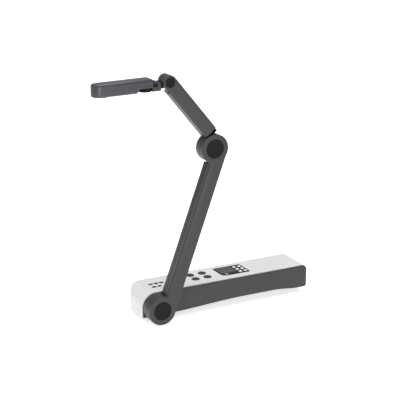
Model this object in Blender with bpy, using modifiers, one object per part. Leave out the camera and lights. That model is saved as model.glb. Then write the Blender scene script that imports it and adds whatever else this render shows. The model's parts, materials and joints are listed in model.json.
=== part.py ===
"""A folding-arm document camera that scans books lying on a table.

A long weighted base carries a two-part arm at its front. A camera head with a
downward lens hangs level from the end of the arm. Metres, +Z up. The origin is on
the table, under the middle of the shoulder hinge. X runs along the base, and the
operator sits on the -Y side.
"""

from math import asin, cos, pi, radians, sin

import bmesh
import bpy

MM = 0.001

# Overall sizes
BASE_LENGTH = 301.2 * MM
BASE_DEPTH = 65 * MM
BASE_TOP = 47.2 * MM
LOWER_ARM = 266.6 * MM  # shoulder axis to elbow axis
UPPER_ARM = 135.5 * MM  # elbow axis to wrist axis, measured along the bar
HEAD_LENGTH = 102.4 * MM
HEAD_WIDTH = 22 * MM
HEAD_HEIGHT = 19.8 * MM

# Rest pose: how far each part leans from the vertical
LOWER_LEAN = radians(20.2)
UPPER_LEAN = radians(39.1)

# Clearances
TOUCH = 0.3 * MM  # between pieces that rest on each other
RUNNING = 0.5 * MM  # between pieces that move past each other
KEY_GAP = 0.35 * MM  # round a button in its hole

# Hinges
HUB_RADIUS = 23 * MM
HUB_CLEARANCE = 1 * MM  # the turning ring above the table
HUB_HEIGHT = HUB_RADIUS + HUB_CLEARANCE
DRUM_INSET = 0.3 * MM
DRUM_RADIUS = HUB_RADIUS - DRUM_INSET
DRUM_DEPTH = 16 * MM
DRUM_BORE_RADIUS = 17 * MM
DRUM_FLOOR = 3 * MM
RING_PLATE = 6.7 * MM  # the plate of the arm in front of a drum
CAP_RADIUS = 14.8 * MM
CAP_SEAT = 2.4 * MM
CAP_PROUD = 0.8 * MM
PIN_RADIUS = 4 * MM
PIN_HEAD_RADIUS = 7.5 * MM
PIN_HEAD = 2 * MM
WASHER_RADIUS = 11 * MM
WASHER = 1.6 * MM
NUT_RADIUS = 7 * MM
NUT = 5 * MM
WRIST_RADIUS = 10.8 * MM
WRIST_CAP_RADIUS = 7.9 * MM
WRIST_PIN_RADIUS = 2.5 * MM
WRIST_PIN_HEAD_RADIUS = 4.5 * MM

# Arms
BAR_WIDTH = 22 * MM
BAR_OFFSET = 0.4 * MM  # from the line of the axes to the near side of a bar
BAR_WALL = 2.2 * MM
FRONT_WALL = 2.6 * MM
FRONT_SHELL = 9.5 * MM  # depth of an arm's front shell
BAR_SETBACK = 1.5 * MM  # the end of a bar's rear half to the drum beside it
BAR_EDGE = 1.3 * MM
SPINE_WIDTH = 10 * MM
SPINE = 3 * MM
CABLE_WIDTH = 7 * MM
CABLE = 0.8 * MM

# Base shells
WALL = 2.4 * MM
PANEL = 2.6 * MM
PANEL_DROP = 0.9 * MM  # the top cover stands this much above the front panel
PANEL_BOTTOM = 13.2 * MM
HEEL_BOTTOM = 8.2 * MM
HEEL_END = 18 * MM
ARCH_START = 160 * MM  # the bottom edge is highest from here to ARCH_END
ARCH_END = 62 * MM  # before the right end
TOE_BOTTOM = 9.4 * MM
TOE_LENGTH = 14 * MM
TOE_RADIUS = 4 * MM
END_RADIUS = 8 * MM
PLAN_RADIUS = 24 * MM
BELLY = 3.2 * MM  # underside of the tray above the table
BELLY_FRONT = 32 * MM
BELLY_BACK = 57 * MM
LEFT_FOOT_START = -12 * MM
LEFT_FOOT_END = 118 * MM
RIGHT_FOOT = 25 * MM
RIGHT_FOOT_INSET = 6 * MM
TRAY_CHAMFER = 5 * MM
DRUM_FOOT = 2.6 * MM
FOOT_LENGTH = 14 * MM

# Keys on the base
KEY_TRAVEL = 0.8 * MM
KEY_FLANGE = 1.2 * MM
KEY_EDGE = 0.5 * MM
ROUND_KEY_PROUD = 0.9 * MM
SMALL_KEY_PROUD = 0.9 * MM
PANEL_KEY_PROUD = 1.2 * MM
KEY_STEM_RADIUS = 1.5 * MM
KEY_STEM_REACH = 5 * MM
ROUND_KEY_RADIUS = 6.6 * MM
ROUND_KEY_PITCH_X = 21.6 * MM
ROUND_KEY_PITCH_Y = 19.2 * MM
ROUND_KEYS_X = 83.5 * MM
ROUND_KEYS_Y = 25.5 * MM
SMALL_KEY_LENGTH = 6.6 * MM
SMALL_KEY_WIDTH = 4 * MM
SMALL_KEY_PITCH = 9.4 * MM
SMALL_KEYS_X = 8.5 * MM
SMALL_KEYS_Y = 24 * MM
SMALL_KEY_ROWS = 13 * MM
PANEL_KEY_SIZE = 5 * MM
DISPLAY_LENGTH = 50.4 * MM
DISPLAY_WIDTH = 37.4 * MM
DISPLAY_X = 128.9 * MM
DISPLAY_Y = 16.2 * MM
DISPLAY = 1.4 * MM
DISPLAY_CORNER = 9 * MM
DISPLAY_PROUD = 0.4 * MM
PANEL_KEYS_X = 35.4 * MM
PANEL_KEYS_Y = 6.4 * MM
PANEL_KEY_PITCH_X = 9.2 * MM
PANEL_KEY_PITCH_Y = 10.6 * MM

# Sockets in the back
SOCKET_DEPTH = 8 * MM
SOCKET_WALL = 0.6 * MM
USB_X = 190 * MM
USB_WIDTH = 9.4 * MM
USB_HEIGHT = 3.8 * MM
POWER_X = 215 * MM
POWER_SIZE = 9 * MM
POWER_BORE_RADIUS = 3.2 * MM

# Inside the base
BALLAST_GAP = 4.1 * MM  # inside of the tray's left end to the ballast
BALLAST_LENGTH = 190 * MM
BALLAST = 5 * MM
BOARD_THICKNESS = 1.6 * MM
BOARD_START = 2 * MM
BOARD_INSET = 30 * MM
SCREW_HEAD_RADIUS = 2.6 * MM
SCREW_HEAD = 1.4 * MM
SCREW_RADIUS = 1.4 * MM
SCREW_LENGTH = 9 * MM

# Head and wrist
HEAD_WALL = 1.8 * MM
HEAD_SPLIT = 9.6 * MM  # height of the joint between the head's shells
HEAD_EDGE = 3.4 * MM
HEAD_HEEL = 15.5 * MM  # swivel axis to the heel of the head
SWIVEL_REACH = 37.4 * MM  # wrist axis to swivel axis
SWIVEL_RADIUS = 11 * MM
SWIVEL_PLATE = 6 * MM
HEAD_BOTTOM = 11.4 * MM  # underside of the head below the wrist axis
NECK_FACE = 17.2 * MM  # swivel axis to the face of the neck
HEAD_ROOF = 2.2 * MM
HEAD_SLOPE_START = 4.5 * MM
HEAD_SLOPE_DROP = 5.5 * MM
HEEL_STEP = 12.8 * MM
HEEL_SLOPE = 5 * MM
HEEL_WALL = 1.6 * MM
NECK_TOP = 1.5 * MM
NECK_GAP = 1.2 * MM
ROOT_INSET = 2 * MM
SWIVEL_TONGUE = 12 * MM
SWIVEL_PIN_RADIUS = 2.2 * MM
SWIVEL_PIN_HEAD_RADIUS = 4 * MM
SWIVEL_NUT = 2.6 * MM
WRIST_NUT = 3 * MM
BUMPER_RADIUS = 2.2 * MM
BUMPER_PROUD = 1 * MM
BUMPER_SEAT = 1.2 * MM
BUMPER_BEFORE_WRIST = 11.6 * MM
LENS_BEHIND_TIP = 19 * MM
LENS_RIM = 2 * MM
LENS_PROUD = 0.6 * MM
LENS_GLASS = 1.2 * MM
CAMERA_RADIUS = 5 * MM
CAMERA_HEIGHT = 9 * MM
CAMERA_BOARD = 14 * MM
LENS_RADIUS = 6.4 * MM
LAMP_BEHIND_TIP = 37 * MM
LAMP_LENGTH = 13 * MM
LAMP_WIDTH = 5 * MM

# Places worked out from the sizes above
BASE_LEFT = -(BASE_TOP - HUB_HEIGHT)
BASE_RIGHT = BASE_LEFT + BASE_LENGTH
DRUM_FRONT = -DRUM_DEPTH / 2
DRUM_BACK = DRUM_DEPTH / 2
PANEL_FRONT = DRUM_BACK + TOUCH
BASE_BACK = PANEL_FRONT + BASE_DEPTH
PLATE_BACK = DRUM_FRONT - TOUCH
PLATE_FRONT = PLATE_BACK - RING_PLATE
BAR_BACK = DRUM_BACK - RUNNING * 2
BAR_MIDDLE = (PLATE_FRONT + BAR_BACK) / 2
BAR_SPLIT = PLATE_FRONT + FRONT_SHELL
BAR_CENTRE = BAR_OFFSET + BAR_WIDTH / 2
COVER_FRONT = PANEL_FRONT + PANEL + TOUCH
KEY_STEM_BOTTOM = BASE_TOP - WALL - KEY_STEM_REACH


def fresh_scene():
    for item in list(bpy.data.objects):
        bpy.data.objects.remove(item, do_unlink=True)


fresh_scene()
parts = bpy.data.collections.new("document_camera")
cutters = bpy.data.collections.new("cutters")
bpy.context.scene.collection.children.link(parts)
bpy.context.scene.collection.children.link(cutters)
cutters.hide_render = True


# Materials


def finish(name, colour, roughness, metallic=0.0):
    made = bpy.data.materials.new(name)
    made.use_nodes = True
    shader = made.node_tree.nodes["Principled BSDF"]
    shader.inputs["Base Color"].default_value = (*colour, 1.0)
    shader.inputs["Roughness"].default_value = roughness
    shader.inputs["Metallic"].default_value = metallic
    return made


WHITE_PLASTIC = finish("white_plastic", (0.78, 0.78, 0.77), 0.4)
GREY_PLASTIC = finish("grey_plastic", (0.1, 0.1, 0.105), 0.5)
DARK_GREY_PLASTIC = finish("dark_grey_plastic", (0.07, 0.07, 0.074), 0.5)
BLACK_PLASTIC = finish("black_plastic", (0.02, 0.02, 0.021), 0.4)
HEAD_PLASTIC = finish("head_plastic", (0.12, 0.12, 0.135), 0.4)
RUBBER = finish("rubber", (0.02, 0.02, 0.02), 0.8)
STEEL = finish("steel", (0.55, 0.55, 0.56), 0.35, 1.0)
BOARD = finish("circuit_board", (0.02, 0.12, 0.05), 0.5)
GLASS = finish("glass", (0.03, 0.03, 0.05), 0.05)
LAMP_LENS = finish("lamp_lens", (0.85, 0.85, 0.8), 0.3)


# Shapes


def add(name, mesh, material=None, parent=None):
    """A new object of this mesh in the parts, or among the cutters if it has no material."""
    item = bpy.data.objects.new(name, mesh)
    if material is None:
        cutters.objects.link(item)
        item.hide_render = True
        item.display_type = "WIRE"
    else:
        parts.objects.link(item)
        mesh.materials.append(material)
    item.parent = parent
    return item


def axis_point(name, place, turn=(0, 0, 0), parent=None):
    """An empty on a joint's axis. What turns with that joint hangs on it."""
    item = bpy.data.objects.new(name, None)
    parts.objects.link(item)
    item.location = place
    item.rotation_euler = turn
    item.parent = parent
    return item


def box(name, x, y, z, material=None, parent=None):
    """A block between the two values given for each direction."""
    shape = bmesh.new()
    bmesh.ops.create_cube(shape, size=1)
    for vert in shape.verts:
        for axis, (low, high) in enumerate((x, y, z)):
            vert.co[axis] = high if vert.co[axis] > 0 else low
    mesh = bpy.data.meshes.new(name)
    shape.to_mesh(mesh)
    shape.free()
    return add(name, mesh, material, parent)


def cylinder(name, radius, along, centre, span, material=None, parent=None, sides=40):
    """A round bar of one radius, or a cone of two, along Y or Z over the two values of span."""
    low, high = span
    narrow, wide = radius if isinstance(radius, tuple) else (radius, radius)
    shape = bmesh.new()
    bmesh.ops.create_cone(
        shape, cap_ends=True, segments=sides, radius1=narrow, radius2=wide, depth=high - low
    )
    middle = (low + high) / 2
    for vert in shape.verts:
        across, over, up = vert.co
        if along == "Y":
            vert.co = (centre[0] + across, middle + up, centre[1] - over)
        else:
            vert.co = (centre[0] + across, centre[1] + over, middle + up)
    mesh = bpy.data.meshes.new(name)
    shape.to_mesh(mesh)
    shape.free()
    mesh.shade_smooth()
    mesh.set_sharp_from_angle(angle=radians(35))
    return add(name, mesh, material, parent)


def prism(name, outline, along, span, material=None, parent=None):
    """A flat outline, drawn as a filled 2D curve, given thickness along X, Y or Z."""
    curve = bpy.data.curves.new(name, "CURVE")
    curve.dimensions = "2D"
    curve.fill_mode = "BOTH"
    curve.extrude = (span[1] - span[0]) / 2
    line = curve.splines.new("POLY")
    line.points.add(len(outline) - 1)
    for point, (across, up) in zip(line.points, outline):
        point.co = (across, up, 0, 1)
    line.use_cyclic_u = True
    drawn = bpy.data.objects.new(name + "_outline", curve)
    cutters.objects.link(drawn)
    bpy.context.view_layer.update()
    graph = bpy.context.evaluated_depsgraph_get()
    mesh = bpy.data.meshes.new_from_object(drawn.evaluated_get(graph))
    bpy.data.objects.remove(drawn, do_unlink=True)
    shape = bmesh.new()
    shape.from_mesh(mesh)
    bmesh.ops.remove_doubles(shape, verts=shape.verts, dist=1e-6)
    middle = (span[0] + span[1]) / 2
    for vert in shape.verts:
        across, up, out = vert.co
        if along == "X":
            vert.co = (middle + out, across, up)
        elif along == "Y":
            vert.co = (across, middle - out, up)
        else:
            vert.co = (across, up, middle + out)
    bmesh.ops.recalc_face_normals(shape, faces=shape.faces)
    shape.to_mesh(mesh)
    shape.free()
    return add(name, mesh, material, parent)


def arc(centre, radius, start, end, steps=10):
    """Points round part of a circle, with the angles in degrees."""
    points = []
    for step in range(steps + 1):
        angle = radians(start + (end - start) * step / steps)
        points.append((centre[0] + radius * cos(angle), centre[1] + radius * sin(angle)))
    return points


def boolean(item, other, operation):
    change = item.modifiers.new(other.name, "BOOLEAN")
    change.operation = operation
    change.object = other
    change.solver = "EXACT"


def cut(item, *tools):
    for tool in tools:
        tool.parent = item.parent
        boolean(item, tool, "DIFFERENCE")


def join(item, *others):
    for other in others:
        other.parent = item.parent
        boolean(item, other, "UNION")


def soften(item, width, steps=2, angle=40):
    """Rounds the edges of a piece."""
    rounding = item.modifiers.new("edges", "BEVEL")
    rounding.width = width
    rounding.segments = steps
    rounding.limit_method = "ANGLE"
    rounding.angle_limit = radians(angle)


# Joint axes
shoulder = axis_point("shoulder_axis", (0, 0, HUB_HEIGHT), (0, LOWER_LEAN, 0))
elbow = axis_point("elbow_axis", (0, 0, LOWER_ARM), (0, -LOWER_LEAN - UPPER_LEAN, 0), shoulder)
wrist = axis_point("wrist_axis", (BAR_CENTRE, BAR_MIDDLE, UPPER_ARM), (0, UPPER_LEAN, 0), elbow)
swivel = axis_point("swivel_axis", (-SWIVEL_REACH, 0, 0), (0, 0, 0), wrist)


# Base


def eased(start, end, steps):
    """Points of an S-shaped line between two points, level at both ends."""
    points = []
    for step in range(steps + 1):
        share = step / steps
        rise = share * share * (3 - 2 * share)
        points.append(
            (start[0] + (end[0] - start[0]) * share, start[1] + (end[1] - start[1]) * rise)
        )
    return points


def side_profile(inset, arched=True):
    """The base seen from the front, shrunk by inset: its left end turns about the shoulder axis.

    The bottom edge is low at the heel and at the toe, and arches up between them.
    """
    radius = BASE_TOP - HUB_HEIGHT - inset
    right = BASE_RIGHT - inset
    corner = END_RADIUS - inset
    top = arc((right - corner, BASE_TOP - inset - corner), corner, 0, 90, 5)
    top += arc((0, HUB_HEIGHT), radius, 90, 180, 14)
    if not arched:
        return [(right, 0)] + top + [(-radius, 0)]
    points = arc((right - TOE_RADIUS, TOE_BOTTOM + TOE_RADIUS), TOE_RADIUS, 270, 360, 4) + top
    points += [(-radius, HEEL_BOTTOM)]
    points += eased((HEEL_END, HEEL_BOTTOM), (ARCH_START, PANEL_BOTTOM), 6)
    points += eased((BASE_RIGHT - ARCH_END, PANEL_BOTTOM), (BASE_RIGHT - TOE_LENGTH, TOE_BOTTOM), 4)
    return points


def plan_profile(inset):
    """The base seen from above, shrunk by inset: its back corners are rounded."""
    left = BASE_LEFT + inset
    right = BASE_RIGHT - inset
    back = BASE_BACK - inset
    big = PLAN_RADIUS - inset
    small = END_RADIUS - inset
    front = COVER_FRONT - (WALL if inset else 0)
    points = [(left, front), (right, front)]
    points += arc((right - small, back - small), small, 0, 90, 5)
    points += arc((left + big, back - big), big, 90, 180, 12)
    return points


top_cover = prism(
    "base_top_cover", side_profile(0), "Y", (COVER_FRONT, BASE_BACK), WHITE_PLASTIC
)
plan_block = prism("cover_plan", plan_profile(0), "Z", (0, BASE_TOP + WALL))
boolean(top_cover, plan_block, "INTERSECT")
soften(top_cover, 1.2 * MM, 2, 50)
cover_inside = prism(
    "cover_inside", side_profile(WALL, False), "Y", (COVER_FRONT - WALL, BASE_BACK - WALL)
)
inside_plan = prism("inside_plan", plan_profile(WALL), "Z", (-WALL, BASE_TOP))
boolean(cover_inside, inside_plan, "INTERSECT")
cut(top_cover, cover_inside)

front_panel = prism(
    "front_side_panel",
    side_profile(PANEL_DROP),
    "Y",
    (PANEL_FRONT, PANEL_FRONT + PANEL),
    DARK_GREY_PLASTIC,
)
soften(front_panel, 0.6 * MM, 2, 50)


def tray_outline(inset):
    """The tray seen from the end: a belly that slopes up to the front edge."""
    front = PANEL_FRONT + PANEL + TOUCH + inset
    back = BASE_BACK - WALL - TOUCH - inset
    rim = PANEL_BOTTOM + 6 * MM + (inset and WALL)
    return [
        (front, rim),
        (front, PANEL_BOTTOM - 0.4 * MM + inset),
        (PANEL_FRONT + BELLY_FRONT, BELLY + inset),
        (PANEL_FRONT + BELLY_BACK, BELLY + inset),
        (back, PANEL_BOTTOM - 1 * MM + inset),
        (back, rim),
    ]


TRAY_LEFT = BASE_LEFT + WALL + TOUCH
TRAY_RIGHT = BASE_RIGHT - WALL - TOUCH
tray = prism(
    "base_bottom_tray", tray_outline(0), "X", (TRAY_LEFT, TRAY_RIGHT), DARK_GREY_PLASTIC
)
tray_inside = prism(
    "tray_inside",
    tray_outline(WALL),
    "X",
    (TRAY_LEFT + WALL + TRAY_CHAMFER, TRAY_RIGHT - WALL),
)
# The left end of the belly is cut off at a slant, so that it stays behind the cover's edge.
tray_slant = prism(
    "tray_slant",
    [
        (TRAY_LEFT - WALL, BELLY - WALL),
        (TRAY_LEFT + TRAY_CHAMFER + WALL, BELLY - WALL),
        (TRAY_LEFT - WALL, BELLY + TRAY_CHAMFER + WALL),
    ],
    "Y",
    (0, BASE_BACK),
)
cut(tray, tray_inside, tray_slant)
tray_corner = prism("tray_corner", plan_profile(WALL + TOUCH), "Z", (-WALL, BASE_TOP))
boolean(tray, tray_corner, "INTERSECT")

BALLAST_START = TRAY_LEFT + WALL + TRAY_CHAMFER + BALLAST_GAP
ballast_bottom = BELLY + WALL + TOUCH
ballast = box(
    "ballast_plate",
    (BALLAST_START, BALLAST_START + BALLAST_LENGTH),
    (PANEL_FRONT + BELLY_FRONT + 1 * MM, PANEL_FRONT + BELLY_BACK - 1 * MM),
    (ballast_bottom, ballast_bottom + BALLAST),
    STEEL,
)

board_top = KEY_STEM_BOTTOM - KEY_TRAVEL - 1 * MM
board = box(
    "main_board",
    (BOARD_START, BASE_RIGHT - BOARD_INSET),
    (COVER_FRONT + 5 * MM, BASE_BACK - WALL - 6 * MM),
    (board_top - BOARD_THICKNESS, board_top),
    BOARD,
)

FOOT_BACK = PANEL_FRONT + BELLY_BACK - 1 * MM
FOOT_FRONT = PANEL_FRONT + BELLY_FRONT + 0.5 * MM
FEET = {
    "left_foot": (LEFT_FOOT_START, LEFT_FOOT_END),
    "right_foot": (BASE_RIGHT - RIGHT_FOOT_INSET - RIGHT_FOOT, BASE_RIGHT - RIGHT_FOOT_INSET),
}
for name, ends in FEET.items():
    foot = box(name, ends, (FOOT_FRONT, FOOT_BACK), (0, BELLY - TOUCH), RUBBER)
    soften(foot, 0.6 * MM, 1)

# Two screws hold the ballast to the tray, between the feet.
SCREW_Y = PANEL_FRONT + (BELLY_FRONT + BELLY_BACK) / 2
for number, along in enumerate((LEFT_FOOT_END + 10 * MM, BALLAST_START + BALLAST_LENGTH - 9 * MM)):
    seat = BELLY + SCREW_HEAD + 0.4 * MM
    place = (along, SCREW_Y)
    name = f"ballast_screw_{number + 1}"
    screw = cylinder(
        name, SCREW_RADIUS, "Z", place, (seat - TOUCH, seat + SCREW_LENGTH), STEEL, None, 16
    )
    head_span = (seat - TOUCH - SCREW_HEAD, seat - TOUCH)
    head = cylinder(name + "_head", SCREW_HEAD_RADIUS, "Z", place, head_span, sides=20)
    join(screw, head)
    countersink = cylinder(
        name + "_seat", SCREW_HEAD_RADIUS + TOUCH, "Z", place, (0, seat), sides=20
    )
    shaft_hole = cylinder(
        name + "_hole", SCREW_RADIUS + TOUCH, "Z", place, (0, HUB_HEIGHT), sides=16
    )
    cut(tray, countersink, shaft_hole)
    cut(ballast, shaft_hole)


# Shoulder: a drum fixed to the base, with the pin that carries the arm

drum = cylinder(
    "shoulder_drum",
    DRUM_RADIUS,
    "Y",
    (0, HUB_HEIGHT),
    (DRUM_FRONT, DRUM_BACK),
    GREY_PLASTIC,
    None,
    48,
)
drum_pocket = cylinder(
    "drum_pocket", DRUM_BORE_RADIUS, "Y", (0, HUB_HEIGHT), (DRUM_FRONT + DRUM_FLOOR, DRUM_BACK + WALL)
)
foot_flat = box(
    "foot_flat", (-FOOT_LENGTH, FOOT_LENGTH), (-DRUM_DEPTH, DRUM_DEPTH), (-WALL, DRUM_FOOT + TOUCH)
)
cut(drum, drum_pocket, foot_flat)
drum_foot = box(
    "drum_foot",
    (-FOOT_LENGTH / 2, FOOT_LENGTH / 2),
    (-DRUM_DEPTH / 2 + 1 * MM, DRUM_DEPTH / 2 - 1 * MM),
    (0, DRUM_FOOT),
    RUBBER,
)
soften(drum_foot, 0.5 * MM, 1)


def hinge_hardware(name, centre, owner):
    """The pin, friction washer and nut of a large hinge."""
    front = PLATE_FRONT + CAP_SEAT
    floor = DRUM_FRONT + DRUM_FLOOR
    nut_front = floor + TOUCH + WASHER + TOUCH
    pin = cylinder(
        name + "_pin",
        PIN_RADIUS,
        "Y",
        centre,
        (front + PIN_HEAD, nut_front + NUT + 1 * MM),
        STEEL,
        owner,
        24,
    )
    pin_head = cylinder(
        name + "_pin_head", PIN_HEAD_RADIUS, "Y", centre, (front, front + PIN_HEAD), sides=32
    )
    join(pin, pin_head)
    washer = cylinder(
        name + "_friction_washer",
        WASHER_RADIUS,
        "Y",
        centre,
        (floor + TOUCH, floor + TOUCH + WASHER),
        BLACK_PLASTIC,
        owner,
        32,
    )
    nut = cylinder(
        name + "_nut", NUT_RADIUS, "Y", centre, (nut_front, nut_front + NUT), STEEL, owner, 6
    )
    for piece in (washer, nut):
        hole = cylinder(
            piece.name + "_hole", PIN_RADIUS + TOUCH, "Y", centre, (DRUM_FRONT, DRUM_BACK), sides=24
        )
        cut(piece, hole)


def pin_hole(name, centre, span):
    return cylinder(name, PIN_RADIUS + RUNNING, "Y", centre, span, sides=24)


hinge_hardware("shoulder", (0, HUB_HEIGHT), None)
cut(drum, pin_hole("drum_hole", (0, HUB_HEIGHT), (DRUM_FRONT - WALL, DRUM_BACK)))


# Arms


def bar(name, x_side, ends, depth, material=None, parent=None):
    """The straight part of an arm, or a hollow in it, inset by x_side from the bar's sides."""
    sides = (BAR_OFFSET + x_side, BAR_OFFSET + BAR_WIDTH - x_side)
    return box(name, sides, depth, ends, material, parent)


def front_seat(item, centre, radius, head_radius, head_depth, pin_radius):
    """Cuts the cap's seat, the pin head's pocket and the pin's hole into a front plate."""
    seat = cylinder(
        item.name + "_cap_seat",
        radius + TOUCH,
        "Y",
        centre,
        (PLATE_FRONT - WALL, PLATE_FRONT + CAP_SEAT),
    )
    pocket = cylinder(
        item.name + "_head_pocket",
        head_radius + RUNNING,
        "Y",
        centre,
        (PLATE_FRONT, PLATE_FRONT + CAP_SEAT + head_depth + TOUCH),
        sides=32,
    )
    hole = cylinder(
        item.name + "_pin_hole",
        pin_radius + RUNNING,
        "Y",
        centre,
        (PLATE_FRONT, DRUM_BACK),
        sides=24,
    )
    cut(item, seat, pocket, hole)


def cap(name, radius, centre, parent):
    made = cylinder(
        name,
        radius,
        "Y",
        centre,
        (PLATE_FRONT - CAP_PROUD, PLATE_FRONT + CAP_SEAT - TOUCH),
        BLACK_PLASTIC,
        parent,
        48,
    )
    soften(made, 0.6 * MM, 2, 50)
    return made


LOWER_START = HUB_RADIUS + BAR_SETBACK
LOWER_END = LOWER_ARM - HUB_RADIUS - BAR_SETBACK
lower_front = bar(
    "lower_arm_front_shell",
    0,
    (LOWER_START, LOWER_END),
    (PLATE_FRONT, BAR_SPLIT),
    GREY_PLASTIC,
    shoulder,
)
lower_plate = bar("lower_plate", 0, (0, LOWER_ARM), (PLATE_FRONT, PLATE_BACK))
shoulder_ring = cylinder(
    "shoulder_ring", HUB_RADIUS, "Y", (0, 0), (PLATE_FRONT, PLATE_BACK), sides=56
)
elbow_ring = cylinder(
    "elbow_ring", HUB_RADIUS, "Y", (0, LOWER_ARM), (PLATE_FRONT, PLATE_BACK), sides=56
)
join(lower_front, lower_plate, shoulder_ring, elbow_ring)
soften(lower_front, BAR_EDGE, 2, 50)
cut(
    lower_front,
    bar(
        "lower_front_hollow",
        BAR_WALL,
        (LOWER_START + BAR_WALL, LOWER_END - BAR_WALL),
        (PLATE_FRONT + FRONT_WALL, BAR_SPLIT + WALL),
    ),
)
for centre in ((0, 0), (0, LOWER_ARM)):
    front_seat(lower_front, centre, CAP_RADIUS, PIN_HEAD_RADIUS, PIN_HEAD, PIN_RADIUS)

lower_rear = bar(
    "lower_arm_rear_cover",
    0,
    (LOWER_START, LOWER_END),
    (BAR_SPLIT + TOUCH, BAR_BACK),
    GREY_PLASTIC,
    shoulder,
)
soften(lower_rear, BAR_EDGE * 0.6, 1)
cut(
    lower_rear,
    bar(
        "lower_rear_hollow",
        BAR_WALL,
        (LOWER_START + BAR_WALL, LOWER_END - BAR_WALL),
        (BAR_SPLIT - WALL, BAR_BACK - BAR_WALL),
    ),
)


def arm_inside(name, ends, parent):
    """A steel spine fixed inside the front shell, with the flat cable lying on it."""
    spine_front = PLATE_FRONT + FRONT_WALL + TOUCH
    cable_front = spine_front + SPINE + TOUCH
    box(
        name + "_spine",
        (BAR_CENTRE - SPINE_WIDTH / 2, BAR_CENTRE + SPINE_WIDTH / 2),
        (spine_front, spine_front + SPINE),
        ends,
        STEEL,
        parent,
    )
    box(
        name + "_flat_cable",
        (BAR_CENTRE - CABLE_WIDTH / 2, BAR_CENTRE + CABLE_WIDTH / 2),
        (cable_front, cable_front + CABLE),
        ends,
        WHITE_PLASTIC,
        parent,
    )


arm_inside("lower_arm", (LOWER_START + BAR_WALL + 1 * MM, LOWER_END - BAR_WALL - 1 * MM), shoulder)
cap("shoulder_cap", CAP_RADIUS, (0, 0), shoulder)
cap("elbow_cap", CAP_RADIUS, (0, LOWER_ARM), shoulder)
hinge_hardware("elbow", (0, 0), elbow)

UPPER_START = HUB_RADIUS + 1 * MM
UPPER_REAR_END = UPPER_ARM - WRIST_RADIUS - BAR_SETBACK
upper_outline = [(BAR_OFFSET + BAR_WIDTH, UPPER_START)]
upper_outline += arc((BAR_CENTRE, UPPER_ARM), BAR_WIDTH / 2, 0, 180, 16)
upper_outline += [(BAR_OFFSET, UPPER_START)]
upper_front = prism(
    "upper_arm_front_shell", upper_outline, "Y", (PLATE_FRONT, BAR_SPLIT), GREY_PLASTIC, elbow
)
soften(upper_front, BAR_EDGE, 2, 50)
cut(
    upper_front,
    bar(
        "upper_front_hollow",
        BAR_WALL,
        (UPPER_START + BAR_WALL, UPPER_REAR_END - BAR_WALL),
        (PLATE_FRONT + FRONT_WALL, BAR_SPLIT + WALL),
    ),
)
front_seat(
    upper_front,
    (BAR_CENTRE, UPPER_ARM),
    WRIST_CAP_RADIUS,
    WRIST_PIN_HEAD_RADIUS,
    PIN_HEAD,
    WRIST_PIN_RADIUS,
)
cap("wrist_cap", WRIST_CAP_RADIUS, (BAR_CENTRE, UPPER_ARM), elbow)

# The elbow's drum is moulded in one piece with the upper arm's rear cover.
upper_rear = bar(
    "upper_arm_rear_cover", 0, (0, UPPER_REAR_END), (BAR_SPLIT + TOUCH, BAR_BACK), GREY_PLASTIC, elbow
)
elbow_drum = cylinder(
    "elbow_drum", DRUM_RADIUS, "Y", (0, 0), (DRUM_FRONT, BAR_BACK), sides=48
)
soften(upper_rear, BAR_EDGE * 0.6, 1)
soften(elbow_drum, BAR_EDGE * 0.6, 1)
join(upper_rear, elbow_drum)
cut(
    upper_rear,
    cylinder(
        "elbow_drum_pocket",
        DRUM_BORE_RADIUS,
        "Y",
        (0, 0),
        (DRUM_FRONT + DRUM_FLOOR, BAR_BACK + WALL),
    ),
    bar(
        "upper_rear_hollow",
        BAR_WALL,
        (HUB_RADIUS + BAR_WALL, UPPER_REAR_END - BAR_WALL),
        (BAR_SPLIT - WALL, BAR_BACK - BAR_WALL),
    ),
    pin_hole("elbow_drum_hole", (0, 0), (DRUM_FRONT - WALL, DRUM_BACK)),
)
arm_inside("upper_arm", (UPPER_START + BAR_WALL + 1 * MM, UPPER_REAR_END - BAR_WALL - 1 * MM), elbow)


# Wrist: a knuckle behind the arm's rounded end, with a neck that carries the swivel

KNUCKLE_FRONT = BAR_SPLIT + RUNNING - BAR_MIDDLE
KNUCKLE_BACK = BAR_BACK - BAR_MIDDLE
NECK_FRONT = PLATE_FRONT + 1 * MM - BAR_MIDDLE
NECK_LEFT = -SWIVEL_REACH + NECK_FACE
NECK_BOTTOM = -HEAD_BOTTOM + RUNNING
SWIVEL_TOP = NECK_BOTTOM + SWIVEL_PLATE
knuckle = cylinder(
    "wrist_knuckle",
    WRIST_RADIUS,
    "Y",
    (0, 0),
    (KNUCKLE_FRONT, KNUCKLE_BACK),
    GREY_PLASTIC,
    wrist,
    40,
)
neck = box(
    "neck",
    (NECK_LEFT, -BAR_WIDTH / 2 - NECK_GAP),
    (NECK_FRONT, KNUCKLE_BACK),
    (NECK_BOTTOM, NECK_TOP),
)
neck_root = box(
    "neck_root",
    (-BAR_WIDTH / 2 - NECK_GAP * 2, 0),
    (KNUCKLE_FRONT, KNUCKLE_BACK),
    (-WRIST_RADIUS + ROOT_INSET, NECK_TOP),
)
soften(neck, 0.8 * MM, 2)
soften(knuckle, 0.8 * MM, 2)
join(knuckle, neck, neck_root)
wrist_nut_pocket = cylinder(
    "wrist_nut_pocket",
    WRIST_PIN_HEAD_RADIUS + RUNNING,
    "Y",
    (0, 0),
    (KNUCKLE_BACK - WRIST_NUT - TOUCH, KNUCKLE_BACK + WALL),
    sides=28,
)
wrist_bore = cylinder(
    "wrist_bore", WRIST_PIN_RADIUS + TOUCH, "Y", (0, 0), (KNUCKLE_FRONT - WALL, KNUCKLE_BACK), sides=20
)
cut(knuckle, wrist_nut_pocket, wrist_bore)
wrist_front = PLATE_FRONT + CAP_SEAT - BAR_MIDDLE
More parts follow.
